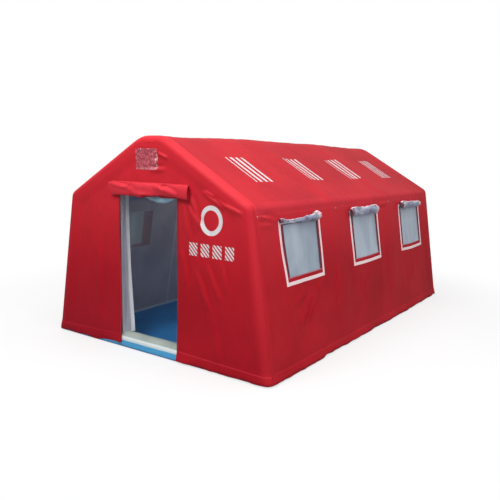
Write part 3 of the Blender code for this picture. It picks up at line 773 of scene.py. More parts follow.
valve_low, valve_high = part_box("relief_valve")
valve_radius = (valve_high.z - valve_low.z) / 2
valve_height = (valve_high.z + valve_low.z) / 2
valve_places = [sum(c.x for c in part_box(node)) / 2 for node in ("inflation_valve", "relief_valve")]
valve_lines = [side - x for x in valve_places for side in (-valve_radius, valve_radius)]
rear_u = spaced([end_low.z, valve_height - valve_radius, valve_height + valve_radius, *end_marks], LINER_STEP)
rear_liner = gable_sheet(liner, rear_u, liner_end, valve_lines, VALVE_SHARE)
middle = (rear_liner[1:, 1:] + rear_liner[:-1, :-1])[..., [0, 2]] / 2
valve_cut = np.any([np.max(abs(middle - (-x, valve_height)), -1) < valve_radius for x in valve_places], 0)
from_valve = np.min([np.hypot(rear_liner[..., 0] + x, rear_liner[..., 2] - valve_height)
                     for x in valve_places], 0)
wave = LINER_WAVE * (0.7 + clouds(rear_liner, (0.25, 1, 0.9), 6.6))
rear_liner[..., 1] += wave * rise(from_valve, 0.06, 0.2)
rear_panel = add_piece("inner_tent_rear", [(rear_liner * (-1, -1, 1), valve_cut)], liner_cloth,
                       ["liner_gable_rear"], thickness=LINER_THICKNESS)
radii = np.array([[valve_radius + 0.001], [PATCH_RADIUS]])
around = np.linspace(0, 2 * math.pi, 37)
patches = [grid_of(x + radii * np.cos(around), liner_end - PATCH_LIFT, valve_height + radii * np.sin(around))
           for x in valve_places]
valve_patches = add_piece("valve_patches", [patch[::-1] for patch in patches],
                          cloth("patch_cloth", SKIRT_WHITE, SKIRT_WHITE))
end_area = section_area(liner, shell_low.z)


# Door jambs: strips of pale cloth that close the air space on both sides of the doorway, from the
# cover's door edge to the inner tent's. They hang in soft upright folds, with a bright hem inside.
JAMB_GREY = (0.62, 0.61, 0.7, 1)
JAMB_SHADE = (0.5, 0.5, 0.58, 1)
JAMB_BRIGHT = (0.93, 0.95, 0.97, 1)
JAMB_HEM = 0.045
JAMB_START = 0.022
JAMB_FLARE = 0.022
JAMB_WAVE = 0.006
JAMB_LIFT = 0.002
JAMB_ROWS = 60

jamb_cloth = cloth("door_jamb_cloth", JAMB_GREY, JAMB_SHADE, pitch=0.0025)
jamb_low, jamb_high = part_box("door_jamb_left")
jamb_front = jamb_low.y + JAMB_START
jamb_width = jamb_high.y - jamb_front
hem_start = jamb_high.y - JAMB_HEM
jamb_cloth.paint(JAMB_BRIGHT, jamb_cloth.along("Y").step(hem_start - 0.02, hem_start + 0.01))
y = spaced([jamb_front, hem_start, jamb_high.y], 0.016)[None]
from_middle = y - (tube_radius - tube_high.y)
foot = base_centre + np.sqrt(np.maximum(tube_radius ** 2 - from_middle ** 2, (0.75 * tube_radius) ** 2))
z = foot + JAMB_LIFT + (jamb_high.z - foot) * np.linspace(0, 1, JAMB_ROWS)[:, None]
share = (y - jamb_front) / jamb_width
for number, (side, turn) in enumerate((("left", 1), ("right", -1))):
    outer_x, inner_x = door_sides(z)[number], inner_door_sides(z)[number]
    strip = grid_of(outer_x + (inner_x - outer_x) * share, y, z)
    fold_shift = 2.5 * clouds(strip, (1, 1, 0.9), 5.1 + number)
    upright = np.sin(2 * math.pi * (1.7 * share + 0.35 * fold_shift)) * np.sin(math.pi * share)
    strip[..., 0] -= turn * JAMB_WAVE * (0.6 - upright)
    strip[..., 0] += JAMB_FLARE * rise(share, 0.75, 1.0) * (turn > 0)
    jamb = add_piece(f"door_jamb_strip_{side}", [strip[:, ::turn]], jamb_cloth,
                     [f"door_jamb_{side}"], thickness=LINER_THICKNESS)


# Cover: red coated cloth, sewn from a roof, two walls and two ends, and stretched over the arches.
# It sags a little between them, creases towards its fixings and ends below in a stitched hem that
# flares over the edge of the ground sheet. Plain white marks are painted on the front and the roof.
COVER_RED = (0.56, 0.01, 0.022, 1)
COVER_SHADE = (0.45, 0.006, 0.016, 1)
COVER_SHADOW_RED = (0.38, 0.003, 0.018, 1)
RIM_HIGHLIGHT_RED = (0.73, 0.029, 0.045, 1)
EAVE_HIGHLIGHT_RED = (0.8, 0.045, 0.07, 1)
HEM_SHADOW = (0.2, 0.004, 0.012, 1)
HEM_SEAM_HIGHLIGHT = (0.72, 0.06, 0.1, 1)
HEM_SEAM = 0.007
HEM_STEP = 0.005
HEM_LINES = ((0.0238, 0.147), (-0.039, 0.1815))
MARK_WHITE = (0.8, 0.78, 0.8, 1)
ROOF_WHITE = (0.72, 0.62, 0.64, 1)
COVER_THICKNESS = 0.0015
EAVE_RADIUS = 0.118
EAVE_SEAM_DROP = 0.05
RIM_RADIUS = 0.078
RIM_STEPS = 7
HEM_LIFT = 0.012
HEM_HEIGHT = 0.11
HEM_FLARE = 0.016
HEM_BULGE = 0.006
HEM_RISE = 0.022
HEM_WIDER = 0.03
DOOR_HEM_LIFT = 0.045
BAY_SAG = 0.013
WRINKLE = 0.006
FOLD_STRENGTH = 3.0
GABLE_RECESS = 0.015
FRONT_STEP = 0.024
REAR_STEP = 0.05
HIGHLIGHT_REACH = (0.02, 0.15)
WALL_FOLDS = (
    ((-1.738, 0.838), (-2.086, 0.484), 0.007, 0.03),
    ((-1.869, 0.879), (-2.163, 0.749), 0.006, 0.03),
    ((-1.598, 0.814), (-1.947, 0.503), 0.008, 0.03),
    ((-1.417, 0.961), (-1.598, 0.814), 0.006, 0.03),
    ((-0.124, 0.861), (-0.335, 0.591), 0.006, 0.035),
    ((-2.77, 1.825), (-2.362, 1.758), 0.007, 0.022),
    ((-2.762, 1.727), (-2.429, 1.716), 0.006, 0.025),
    ((-0.991, 1.081), (-1.11, 0.542), 0.005, 0.04),
    ((0.86, 1.79), (0.55, 1.77), 0.005, 0.022),
    ((1.9, 0.85), (1.65, 0.45), 0.005, 0.035),
)
WALL_PULLS = (
    ((-2.355, 0.985), 0.36, (0.06, 0.0)),
    ((0.0, 0.985), 0.5, (0.0, -0.015)),
    ((1.855, 0.985), 0.5, (0.0, -0.022)),
)
FRONT_FOLDS = (
    ((0.599, 1.87), (0.729, 1.569), 0.005, 0.022),
    ((0.501, 1.348), (0.558, 0.951), 0.008, 0.035),
    ((0.71, 1.134), (0.918, 0.687), 0.008, 0.032),
    ((0.918, 0.687), (1.053, 0.129), 0.004, 0.05),
    ((0.859, 1.232), (1.062, 0.83), 0.006, 0.028),
    ((1.052, 1.295), (1.155, 0.943), 0.006, 0.025),
    ((0.548, 1.886), (0.903, 1.509), 0.005, 0.022),
    ((-0.905, 1.37), (-0.897, 0.274), 0.005, 0.05),
    ((0.923, 1.998), (1.28, 1.808), 0.006, 0.022),
    ((0.783, 2.032), (1.097, 1.861), 0.006, 0.022),
    ((0.622, 1.967), (0.754, 1.614), 0.007, 0.028),
    ((0.512, 1.877), (0.61, 1.459), 0.007, 0.03),
    ((0.127, 2.441), (0.282, 2.388), 0.007, 0.025),
    ((-0.013, 2.237), (0.244, 2.26), 0.006, 0.025),
    ((0.818, 2.047), (0.958, 1.987), 0.008, 0.022),
    ((1.129, 1.917), (1.361, 1.814), 0.008, 0.022),
)
RING_MARK = (0.912, 1.72, 0.13, 0.025)
FRONT_MARKS = (0.66, 0.83, 1.0, 1.17)
FRONT_MARK_SIZE = (0.125, 0.15)
FRONT_MARK_HEIGHT = 1.38
HATCH_PITCH = 0.05
ROOF_MARKS = (-1.95, -0.63, 0.65, 1.92)
ROOF_MARK_REACH = (0.55, 1.03)
ROOF_MARK_WIDTH = 0.4
ROOF_BAR_PITCH = 0.115

half_length = cad_high.y - HEM_FLARE
panel_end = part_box("cover_roof")[1].y
cover = Section(0, EAVE_RADIUS, RIDGE_RADIUS)
foot_u = HEM_LIFT / math.sin(WALL_ANGLE)
seam_u = cover.wall_end - EAVE_SEAM_DROP


def folds(across, up, straight_creases):
    """Height of straight creases, each given by its ends, height and width, with a hollow beside it"""
    total = 0 * (across + up)
    for start, end, height, width in straight_creases:
        run = np.subtract(end, start)
        length = np.hypot(*run)
        along = ((across - start[0]) * run[0] + (up - start[1]) * run[1]) / length ** 2
        beside = ((up - start[1]) * run[0] - (across - start[0]) * run[1]) / length / width
        taper = np.sqrt(np.clip(4 * along * (1 - along), 0, 1))
        crest = np.exp(-beside ** 2) - 0.7 * np.exp(-(beside - 1.5) ** 2)
        total += FOLD_STRENGTH * height * taper * crest
    return total


def with_hem(grid, out):
    """The foot of the cover: a stitched casing that bulges, flares to its edge, and lifts in places"""
    x, y, z = grid[..., 0], grid[..., 1], grid[..., 2]
    on_end = y < -half_length + RIM_RADIUS
    below = np.clip(1 - z / (HEM_HEIGHT + HEM_WIDER * on_end), 0, 1)
    wave = clouds(grid, (0.28, 0.28, 9), 2.5) + 0.4 * clouds(grid, (0.09, 0.09, 9), 6.1)
    push = HEM_BULGE * np.sin(math.pi * below) + HEM_FLARE * (0.7 + 1.5 * wave) * below ** 2
    by_door = on_end * (x < DOOR_LEFT + 0.05) * rise(x, -1.0, -0.6)
    uneven = np.maximum(0, 0.2 + clouds(grid, (0.2, 0.2, 9), 8.8))
    lift = below * (DOOR_HEM_LIFT * by_door + HEM_RISE * uneven)
    level = out * (1, 1, 0)
    return grid + level * push[..., None] + lift[..., None] * np.array([0, 0, 1])


def over_cover(u, y, side=1, lift=0.0):
    """A grid on the cover, lifted off it: rows u up its right half, or down its left for side -1"""
    grid, out = over_tent(cover, u, y, side)
    for centre, reach, (level, rising) in WALL_PULLS * (side > 0):
        near = np.exp(-((grid[..., 1] - centre[0]) ** 2 + (u[:, None] - centre[1]) ** 2) / reach ** 2)
        near = near * rise(panel_end - abs(grid[..., 1]), 0.04, 0.4)
        grid = grid + near[..., None] * np.insert(rising * heading(WALL_ANGLE), 1, level)
    nearest = np.min([abs(grid[..., 1] - place) for place in arch_places], 0)
    slack = rise(nearest, 0.07, 0.3) * (abs(grid[..., 1]) < arch_places[-1]) * rise(u, 0.12, 0.45)[:, None]
    shape = 1 - 0.35 * np.exp(-((u - cover.wall_end) / 0.15) ** 2) - 0.5 * rise(u, cover.roof_end, cover.apex)
    wrinkle = clouds(grid, (0.5, 0.17, 0.6), 1.7) + 0.35 * clouds(grid, (0.22, 0.07, 0.25), 9.3)
    sag = slack * (BAY_SAG * shape[:, None] + WRINKLE * wrinkle)
    sag -= folds(side * grid[..., 1], u[:, None], WALL_FOLDS)
    sag *= rise(panel_end - abs(grid[..., 1]), 0, 0.1)
    sag += dip(u[:, None] - cover.apex, grid[..., 1])
    grid = with_hem(grid + out * (lift - sag)[..., None], out)
    return grid[::side]


def from_edge(x, z):
    """How far a place on a gable is from the planes of the wall and the roof"""
    wall = (BASE_HALF_WIDTH - abs(x)) * math.sin(WALL_ANGLE) + z * math.cos(WALL_ANGLE)
    roof = (PEAK_HEIGHT - z) * math.cos(ROOF_SLOPE) - abs(x) * math.sin(ROOF_SLOPE)
    above = z - (PEAK_HEIGHT - RIDGE_RADIUS / math.cos(ROOF_SLOPE))
    ridge = np.where(abs(x) < above * math.tan(ROOF_SLOPE), RIDGE_RADIUS - np.hypot(x, above), roof)
    return np.minimum(wall, ridge) - FRONT_DIP * np.exp(-(x / DIP_REACH) ** 2) * rise(z, 2.1, 2.4)


def on_gable(x, z, lift=0.0, doorway=True):
    """Places on the front, lifted off its cloth, which lies back a little from its padded edges"""
    edge = from_edge(x, z)
    flat = grid_of(x, -half_length, z)
    wrinkle = clouds(flat, (0.16, 1, 0.55), 3.3) + 0.4 * clouds(flat, (0.07, 1, 0.2), 7.1)
    back = rise(edge, 0.12, 0.26) * rise(z, 0.15, 0.5) * (GABLE_RECESS + 1.4 * WRINKLE * wrinkle)
    made = folds(x, z, FRONT_FOLDS if doorway else FRONT_FOLDS[1:8])
    back -= np.where(made > 0, made * rise(edge, 0.08, 0.14), made * rise(edge, 0.2, 0.3))
    flat[..., 1] += back - lift
    return flat


def gable(doorway):
    """A gable's grid at -y, from the left wall's seam round its rim, across, and round the right rim"""
    reach = math.radians(90) * np.linspace(0, 1, RIM_STEPS)
    points, out = cover.at(gable_u)
    end_dip = FRONT_DIP if doorway else REAR_DIP
    points = points - out * (end_dip * np.exp(-((gable_u - cover.apex) / DIP_REACH) ** 2))[:, None]
    slide = (1 - rise(gable_u, cover.wall_end / 2, cover.wall_end)) * out[:, 1] / math.sin(WALL_ANGLE)
    inward = -out + slide[:, None] * heading(WALL_ANGLE)
    ring = points[:, None] + inward[:, None] * (RIM_RADIUS * (1 - np.cos(reach)))[:, None]
    depth = RIM_RADIUS - half_length - RIM_RADIUS * np.sin(reach)
    rim = grid_of(ring[..., 0], depth, ring[..., 1])
    rim_out = grid_of(out[:, :1] * np.cos(reach), -np.sin(reach), out[:, 1:] * np.cos(reach))
    seam = grid_of(points[:, :1], -panel_end, points[:, 1:])
    rim, rim_out = np.concatenate([seam, rim], 1), np.concatenate([rim_out[:, :1], rim_out], 1)
    doors = door_sides(rim[:, -1, 2])
    across = across_gable(rim[:, -1, 0], doors, DOOR_SHARE, FRONT_STEP if doorway else REAR_STEP)[:, 1:-1]
    face = on_gable(across, rim[:, -1:, 2], doorway=doorway)
    face_out = np.broadcast_to([0.0, -1, 0], face.shape)
    flip = np.array([-1, 1, 1])
    grid = np.concatenate([rim * flip, face, rim[:, ::-1]], 1)
    return with_hem(grid, np.concatenate([rim_out * flip, face_out, rim_out[:, ::-1]], 1))


def cover_cloth(name, hem_lines=((0, HEM_HEIGHT),), upper_highlight=0.9, seam=0.12, eave=0.55):
    """
    The cover's cloth, with painted highlights along its rims over the end arches, high up, under the
    eaves and on its hem's seam, and a painted shadow along its foot. The seam of its hem follows one or
    two lines, given by their slopes and heights.
    """
    finish = cloth(name, COVER_RED, COVER_SHADE, roughness=0.5, pitch=0.003, patches=1.1,
                   Specular_IOR_Level=0.15)
    x, y, z = abs(finish.along("X")), abs(finish.along("Y")), finish.along("Z")
    wall = (BASE_HALF_WIDTH - x) * math.sin(WALL_ANGLE) + z * math.cos(WALL_ANGLE)
    roof = (PEAK_HEIGHT - z) * math.cos(ROOF_SLOPE) - x * math.sin(ROOF_SLOPE)
    inward = wall.at_most(roof).at_least(half_length - y)
    # Painted highlights: a lighter red along the rims over the end arches, weaker low down and near the apex,
    # and over the cloth from 0.9 m to 2 m up.
    rim_highlight = (1 - inward.step(*HIGHLIGHT_REACH)) * (0.5 + z.step(0.2, 1.4) * 0.3 - z.step(2.25, 2.6) * 0.45)
    finish.paint(RIM_HIGHLIGHT_RED, rim_highlight.at_least(z.step(0.9, 2.0) * upper_highlight))
    # Painted highlight in a band just under the eaves.
    finish.paint(EAVE_HIGHLIGHT_RED, z.step(1.77, 1.83) * (1 - z.step(1.88, 1.95)) * eave)
    lines = [z + finish.along("X") * slope - height for slope, height in hem_lines]
    over_hem = lines[0].at_least(lines[-1])
    # Painted highlight along the ridge of the hem's stitched seam.
    finish.paint(HEM_SEAM_HIGHLIGHT, over_hem.within(0, HEM_SEAM, 0.6) * seam)
    # Painted shadow along the foot, darkest at the bottom, with a ragged top edge.
    clear_of_shadow = (z + finish.noise(14) * 0.03).step(0.03, 0.07)
    finish.paint(HEM_SHADOW, (1 - clear_of_shadow) * 0.75)
    casing = over_hem.step(-HEM_SEAM, HEM_SEAM) * -HEM_STEP
    crumple = finish.noise(7, stretch=(1, 1, 1.8), detail=4.0, shift=3.0) * 0.01
    weave = finish.weave * 0.00008
    finish.raise_by(crumple + weave + casing, 1.0, 0.6)
    return finish


plain_cover = cover_cloth("cover_cloth")
front_cover = cover_cloth("cover_cloth_front", HEM_LINES, upper_highlight=0.55, seam=0.35, eave=0.0)
x, z = front_cover.along("X"), front_cover.along("Z")
# Painted shade over the lower left of the front, fading towards the right and upwards.
low_left_shade = (1 - x.step(-1.0, 0.3) * 0.7) * (1 - z.step(0.2, 1.7))
front_cover.paint(COVER_SHADOW_RED, low_left_shade * 0.6)
ring_x, ring_z, ring_radius, ring_width = RING_MARK
reach = (x - ring_x) * (x - ring_x) + (z - ring_z) * (z - ring_z) * 0.85
front_cover.paint(MARK_WHITE, reach.root().within(ring_radius, ring_width, 0.06))
hatch = (x + z).waves(HATCH_PITCH).step(-0.4, -0.1)
tall = z.within(FRONT_MARK_HEIGHT, FRONT_MARK_SIZE[1] / 2, 0.03)
for place in FRONT_MARKS:
    front_cover.paint(MARK_WHITE, hatch * tall * x.within(place, FRONT_MARK_SIZE[0] / 2, 0.04))
roof_cover = cover_cloth("cover_cloth_roof", upper_highlight=0.0)
x, y = abs(roof_cover.along("X")), roof_cover.along("Y")
inner, outer = ROOF_MARK_REACH
on_slope = x.within((inner + outer) / 2, (outer - inner) / 2, 0.03)
for place in ROOF_MARKS:
    bars = (y - place).waves(ROOF_BAR_PITCH).step(0.1, 0.25)
    roof_cover.paint(ROOF_WHITE, bars * y.within(place, ROOF_MARK_WIDTH / 2, 0.02) * on_slope)

steep = np.linspace(cover.wall_end, cover.apex, 4000)
steep_points, steep_out = cover.at(steep)
door_u = np.interp(DOOR_TOP, steep_points[:, 1] - steep_out[:, 1] * RIM_RADIUS, steep)
eave_rows = np.linspace(cover.wall_end, cover.roof_start, 7)[1:-1]
ridge_rows = np.linspace(cover.roof_end, cover.apex, 7)
low_rows = spaced([foot_u, 0.2], 0.02)[:-1]
gable_u = np.concatenate([low_rows, spaced([0.2, cover.wall_end], 0.026), eave_rows,
                          spaced([cover.roof_start, door_u, cover.roof_end], 0.026)[:-1], ridge_rows])
wall_u = np.concatenate([low_rows, spaced([0.2, WINDOW_SILL, WINDOW_SILL + TAPE_WIDTH, PANE_SILL, PANE_TOP,
                                           WINDOW_TOP, seam_u], 0.035)])
roof_u = np.concatenate([[seam_u, cover.wall_end], eave_rows,
                         spaced([cover.roof_start, cover.roof_end], 0.04)[:-1], ridge_rows])
cover_y = spaced([-panel_end, *window_sides(PANE_HALF_WIDTH), panel_end], 0.036)
for name, side in (("right", 1), ("left", -1)):
    grid = over_cover(wall_u, cover_y, side)
    cut = window_cut(wall_u, cover_y, PANE_SILL, PANE_TOP, PANE_HALF_WIDTH)[::side]
    add_piece(f"cover_side_{name}", [(grid, cut)], plain_cover,
                             [f"cover_wall_{name}"], thickness=COVER_THICKNESS)
roof = np.concatenate([over_cover(roof_u, cover_y), over_cover(roof_u, cover_y, -1)[1:]])
roof_panel = add_piece("cover_top", [roof], roof_cover, ["cover_roof"],
                       thickness=COVER_THICKNESS)
front = gable(True)
front_cloth = add_piece("cover_front", [(front, doorway_cut(front, door_sides(0)))], front_cover,
                        ["cover_gable_front"], thickness=COVER_THICKNESS)
rear_cloth = add_piece("cover_rear", [gable(False) * (-1, -1, 1)], plain_cover,
                       ["cover_gable_rear"], thickness=COVER_THICKNESS)


# Seams and trims of the cover: a welded strip over each seam between the roof, walls and ends, a
# red binding round the doorway, and a white tab with a ring on each eave seam at every arch.
SEAM_WIDTH = 0.024
SEAM_RAISE = 0.0012
BINDING_WIDTH = 0.022
BINDING_RED = (0.33, 0.005, 0.018, 1)
TAB_WHITE = (0.62, 0.5, 0.52, 1)
TAB_WIDTH = 0.016
TAB_LENGTH = 0.016
TAB_UP = 1.812
TAB_RAISE = 0.004
TAB_THICKNESS = 0.001
RING_GREY = (0.5, 0.5, 0.5, 1)
RING_RADIUS = 0.007
RING_WIRE = 0.0015
RING_RAISE = 0.006

seam_cloth = cover_cloth("cover_seam_cloth")
half_seam = SEAM_WIDTH / 2
end_u = np.concatenate([wall_u, roof_u[1:]])
eave_u = spaced([seam_u - half_seam, seam_u + half_seam], half_seam)
strips = []
for side in (1, -1):
    for end in (-panel_end, panel_end):
        strips.append(over_cover(end_u, end + np.array([-half_seam, half_seam]), side, SEAM_RAISE))
    strips.append(over_cover(eave_u, cover_y[1:-1], side, SEAM_RAISE))
seam_strips = add_piece("cover_seam_strips", strips, seam_cloth, thickness=SEAM_RAISE)

binding = cloth("doorway_binding", BINDING_RED, COVER_SHADE, roughness=0.5)
binding_z = spaced([HEM_LIFT + DOOR_HEM_LIFT, DOOR_TOP], 0.03)[:, None]
edging = []
for edge, start in zip(door_sides(binding_z), (-BINDING_WIDTH, 0)):
    x = edge + np.array([[start, start + BINDING_WIDTH]])
    edging.append(on_gable(x, binding_z, lift=SEAM_RAISE))
door_binding = add_piece("doorway_binding_strips", edging, binding, thickness=SEAM_RAISE)

tab_cloth = cloth("tab_webbing", TAB_WHITE, TAB_WHITE, pitch=0.004)
tabs, rings = [], []
turn = np.linspace(0, 2 * math.pi, 13)
for side in (1, -1):
    for place in arch_places:
        place = max(-panel_end + TAB_WIDTH, min(panel_end - TAB_WIDTH, place))
        u = np.linspace(TAB_UP, TAB_UP + TAB_LENGTH, 4)
        tabs.append(over_cover(u, place + np.array([-0.5, 0.5]) * TAB_WIDTH, side, TAB_RAISE))
        below_tab = over_cover(np.array([TAB_UP, TAB_UP + 0.01]), np.array([place]), side, RING_RAISE)
        middle = below_tab[::side][0]
        circle = middle + grid_of(0, np.cos(turn) * RING_RADIUS, np.sin(turn) * RING_RADIUS)
        rings.append(swept(circle, (1, 0, 0), RING_WIRE, np.linspace(0, 360, 7), closed=True))
tie_tabs = add_piece("tie_tabs", tabs, tab_cloth, thickness=TAB_THICKNESS)
ring_metal = Finish("ring_metal", RING_GREY, Metallic=1.0)
ring_metal.set("Roughness", ring_metal.noise(200) * 0.2 + 0.2)
add_piece("tie_rings", rings, ring_metal)

roof_flat = (2 * panel_end, 2 * (cover.apex - seam_u))
gable_area = section_area(cover, foot_u)


# Windows: three in each wall. White tape is sewn round each opening, a dark binding round the insect
# mesh and a grey facing behind it. A cover of clear film with white edges is rolled up above each,
# tied by two straps. Its top stays sewn to the wall.
TAPE_WHITE = (0.95, 0.78, 0.8, 1)
TAPE_SHADE = (0.85, 0.64, 0.68, 1)
TAPE_GLOW = 0.12
TAPE_SEEN = 0.042
TAPE_INSET = 0.01
TAPE_RAISE = 0.0013
TAPE_THICKNESS = 0.0008
PANE_EDGE = (0.13, 0.03, 0.06, 1)
PANE_FOOT = (0.62, 0.2, 0.26, 1)
PANE_DARK = (0.3, 0.37, 0.46, 1)
PANE_PALE = (0.48, 0.55, 0.63, 1)
PANE_GLOW = 0.135
NEAR_GLOW = 0.63
NO_LIGHT = (0, 0, 0, 1)
PANE_DEPTH = 0.006
PANE_MARGIN = 0.02
PANE_BINDING = 0.034
PANE_FOOT_WIDTH = 0.01
PANE_RIPPLE = 0.009
PANE_SLACK = 0.004
FACING_GREY = (0.44, 0.36, 0.45, 1)
FACING_GLOW = 0.1
FACING_WIDTH = 0.22
FACING_TOP = 0.03
FACING_DEPTH = 0.014
FILM_DARK = (0.27, 0.31, 0.42, 1)
FILM_PALE = (0.7, 0.68, 0.76, 1)
FILM_PURPLE = (0.17, 0.07, 0.14, 1)
FILM_GLOW = 0.13
ROLL_END_SHADE = (0.16, 0.03, 0.06, 1)
EDGE_PINK = (0.66, 0.3, 0.37, 1)
EDGE_THICKNESS = 0.001
STRAP_GREY = (0.5, 0.5, 0.56, 1)
STRAP_PLACES = (-0.3, 0.28)
STRAP_WIDTH = 0.014
COVER_DROP = 0.78
HEADER_TOP = 1.742
HEADER_ROWS = 36
HANG_WAVE = 0.005
END_TAPES = (0.03, 0.075)
TOP_TAPE = 0.1
ROLL_BACK = 0.0036
ROLL_DEPTH = 0.07
ROLL_SHARE = 0.88
ROLL_CRUMPLE = 0.0105
ROLL_STARTS = (-2.345, -0.53, 1.385)
ROLL_SHAPES = (
    ((-0.49, 0.385), (1.786, 1.738, 1.75, 1.775, 1.82), (1.718, 1.706, 1.704, 1.7, 1.698),
     (0.6, 0.75, 0.8, 0.95, 1.1)),
    ((-0.53, 0.36), (1.802, 1.798, 1.79, 1.794, 1.8), (1.664, 1.666, 1.668, 1.668, 1.666),
     (1.0, 0.95, 0.95, 1.0, 1.05)),
    ((-0.47, 0.4), (1.8, 1.79, 1.778, 1.772, 1.77), (1.67, 1.665, 1.665, 1.67, 1.67),
     (1.05, 1.0, 0.9, 0.95, 1.0)),
)


def wound(shape, back, turns, crumple, seed, lift=0.0, start=-40):
    """
    Cloth wound into a loose roll, in the roll's own frame: rows along its length X, with Y up and Z
    out of what it hangs on. It winds inwards. Its shape is its places x, and at each of them its low
    and high edges and its depth.
    """
    x, low, high, depth = np.array(shape)[..., None]
    angle = np.radians(start) + np.linspace(0, 2 * math.pi * turns, round(20 * turns + 1))
    shrink = 1 - 0.7 * (angle - angle[0]) / (angle[-1] - angle[0]) * (turns > 1)
    y = (low + high) / 2 + (high - low) / 2 * shrink * np.cos(angle)
    z = back + depth / 2 * (1 + shrink * np.sin(angle))
    place = grid_of(x, y, z)
    dent = crumple * (creases(place, (0.16, 0.035, 0.035), seed)
                      + 0.7 * creases(place, (0.05, 0.03, 0.03), seed + 5)
                      + 0.8 * clouds(place * (1, 0, 0), (0.13, 1, 1), seed + 9) - 0.6)
    dent = np.maximum(dent, -crumple / 2) - lift
    place[..., 1] -= dent * np.cos(angle)
    place[..., 2] = np.maximum(place[..., 2] - dent * np.sin(angle), back)
    return place


def strapped(shape, middle, width, slack, deeper, back, turns, lift, start):
    """A strap round a roll of a given shape, larger than the roll by slack and deeper by deeper"""
    x = middle + np.array([-0.5, 0.5]) * width
    low, high, depth = [np.interp(x, shape[0], row) for row in shape[1:]]
    return wound((x, low - slack, high + slack, depth + deeper), back, turns, 0.0, 1.0, lift, start)


def eased(stations, columns, *rows):
    """Even places x along a roll, and values at its stations as rows at x with rounded corners"""
    x = np.linspace(stations[0], stations[-1], columns)
    shifts = np.linspace(-0.05, 0.05, 7)
    return [x, *[np.mean([np.interp(x + shift, stations, row) for shift in shifts], 0) for row in rows]]


def hung_frame(foot, level, up, out):
    """The frame of a roll that hangs on a wall or an end: X level, Y up it and Z out of it"""
    return Matrix.Translation(foot) @ Matrix((level, up, out)).transposed().to_4x4()


def placed(points, matrix):
    """Points of a frame, moved to their place on the tent"""
    turn = np.array(matrix.to_3x3())
    return points @ turn.T + np.array(matrix.translation)


def paid_out(name, matrix, x, foot, top, z_roll, z_top, finish):
    """The cloth from its sewn edge down to its roll"""
    share = np.linspace(0, 1, HEADER_ROWS)[:, None]
    grid = grid_of(x, foot + (top - foot) * share, z_roll + (z_top - z_roll) * share)
    hang = clouds(grid * (1, 0, 0), (0.11, 1, 1), 4.4) + 0.5 * clouds(grid, (0.06, 0.02, 1), 7.7)
    grid[..., 2] += HANG_WAVE * np.sin(math.pi * share ** 0.6) * (0.7 + hang)
    header = add_piece(name, [placed(grid, matrix)], finish, body=None)
    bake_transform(header)
    return header


def window_frame(place, side, hole, half_width, foot, width, top, lift):
    """A flat frame on a wall, round a hole: its grid, and the hole as a cut-out"""
    u = spaced([hole[0] - foot, *hole, hole[1] + top], 0.04)
    y = place + spaced([-half_width - width, -half_width, half_width, half_width + width], 0.04)
    return over_cover(u, y, side, lift), window_cut(u, y, *hole, half_width)[::side]


def film(name, dark, pale, alpha, seed, hazing, clouding=9):
    """Soft clear film, hazed and streaked pale at random"""
    finish = Finish(name, dark, Roughness=0.42, IOR=1.4)
    haze = finish.noise(clouding, stretch=(1, 2.5, 1), detail=5.0, shift=seed).step(*hazing)
    finish.paint(pale, haze)
    finish.set("Alpha", haze * (1 - alpha) + alpha)
    finish.raise_by(finish.noise(30, detail=4.0), 0.004, 0.5)
    return finish


# The tape glows a little in its own white: a painted glow, not a lamp.
tape = cloth("window_tape", TAPE_WHITE, TAPE_SHADE, pitch=0.004, Emission_Color=TAPE_WHITE,
             Emission_Strength=TAPE_GLOW)
pane_binding = cloth("pane_binding", PANE_FOOT, PANE_FOOT, pitch=0.003)
sill_height = PANE_SILL * math.sin(WALL_ANGLE)
pane_binding.paint(PANE_EDGE, pane_binding.along("Z").step(sill_height - 0.002, sill_height))
# The facing behind the mesh glows a little in its grey: a painted glow.
facing_cloth = cloth("window_facing", FACING_GREY, FACING_GREY, pitch=0.003,
                     Emission_Color=FACING_GREY, Emission_Strength=FACING_GLOW)
# The mesh is painted with the light behind it: paler in upright bands for the lit folds of cloth behind it,
# in patches, and on the panes farther back. It glows the same way, more on the panes farther back: a painted
# glow, not a lamp.
mesh_cloth = Finish("insect_mesh", PANE_DARK, Roughness=0.7, Specular_IOR_Level=0.2,
                    Emission_Strength=PANE_GLOW)
drape = mesh_cloth.noise(5, stretch=(1, 1, 6), detail=3.0)
patch = mesh_cloth.noise(2.2, shift=4.0).step(0.45, 0.75)
farther_lit = mesh_cloth.along("Y").step(-1.5, -0.4)
mesh_cloth.paint(PANE_PALE, (drape.step(0.35, 0.7) + patch + farther_lit) * 0.5)
pane_light = farther_lit * (1 - NEAR_GLOW) + NEAR_GLOW
draped = mesh_cloth.mix(PANE_DARK, PANE_PALE, drape)
mesh_cloth.set("Emission Color", mesh_cloth.mix(NO_LIGHT, draped, pane_light))
mesh_cloth.set("Alpha", 0.98 - mesh_cloth.threads(0.004).step(1.0, 3.0) * 0.1)
roll_film = film("window_cover_film", FILM_DARK, FILM_PALE, 0.95, 1.0, (0.48, 0.75))
# Painted shade: each roll's end towards the front is painted dark, where its open end lies in shade.
for start in ROLL_STARTS:
    roll_film.paint(ROLL_END_SHADE, roll_film.along("Y").within(start, 0.09, 0.7) * 0.85)
# Dark purple patches laid at random.
purple_patches = roll_film.noise(11, stretch=(1, 1.6, 1), detail=3.0, shift=2.0).step(0.55, 0.68) * 0.6
roll_film.paint(FILM_PURPLE, purple_patches)
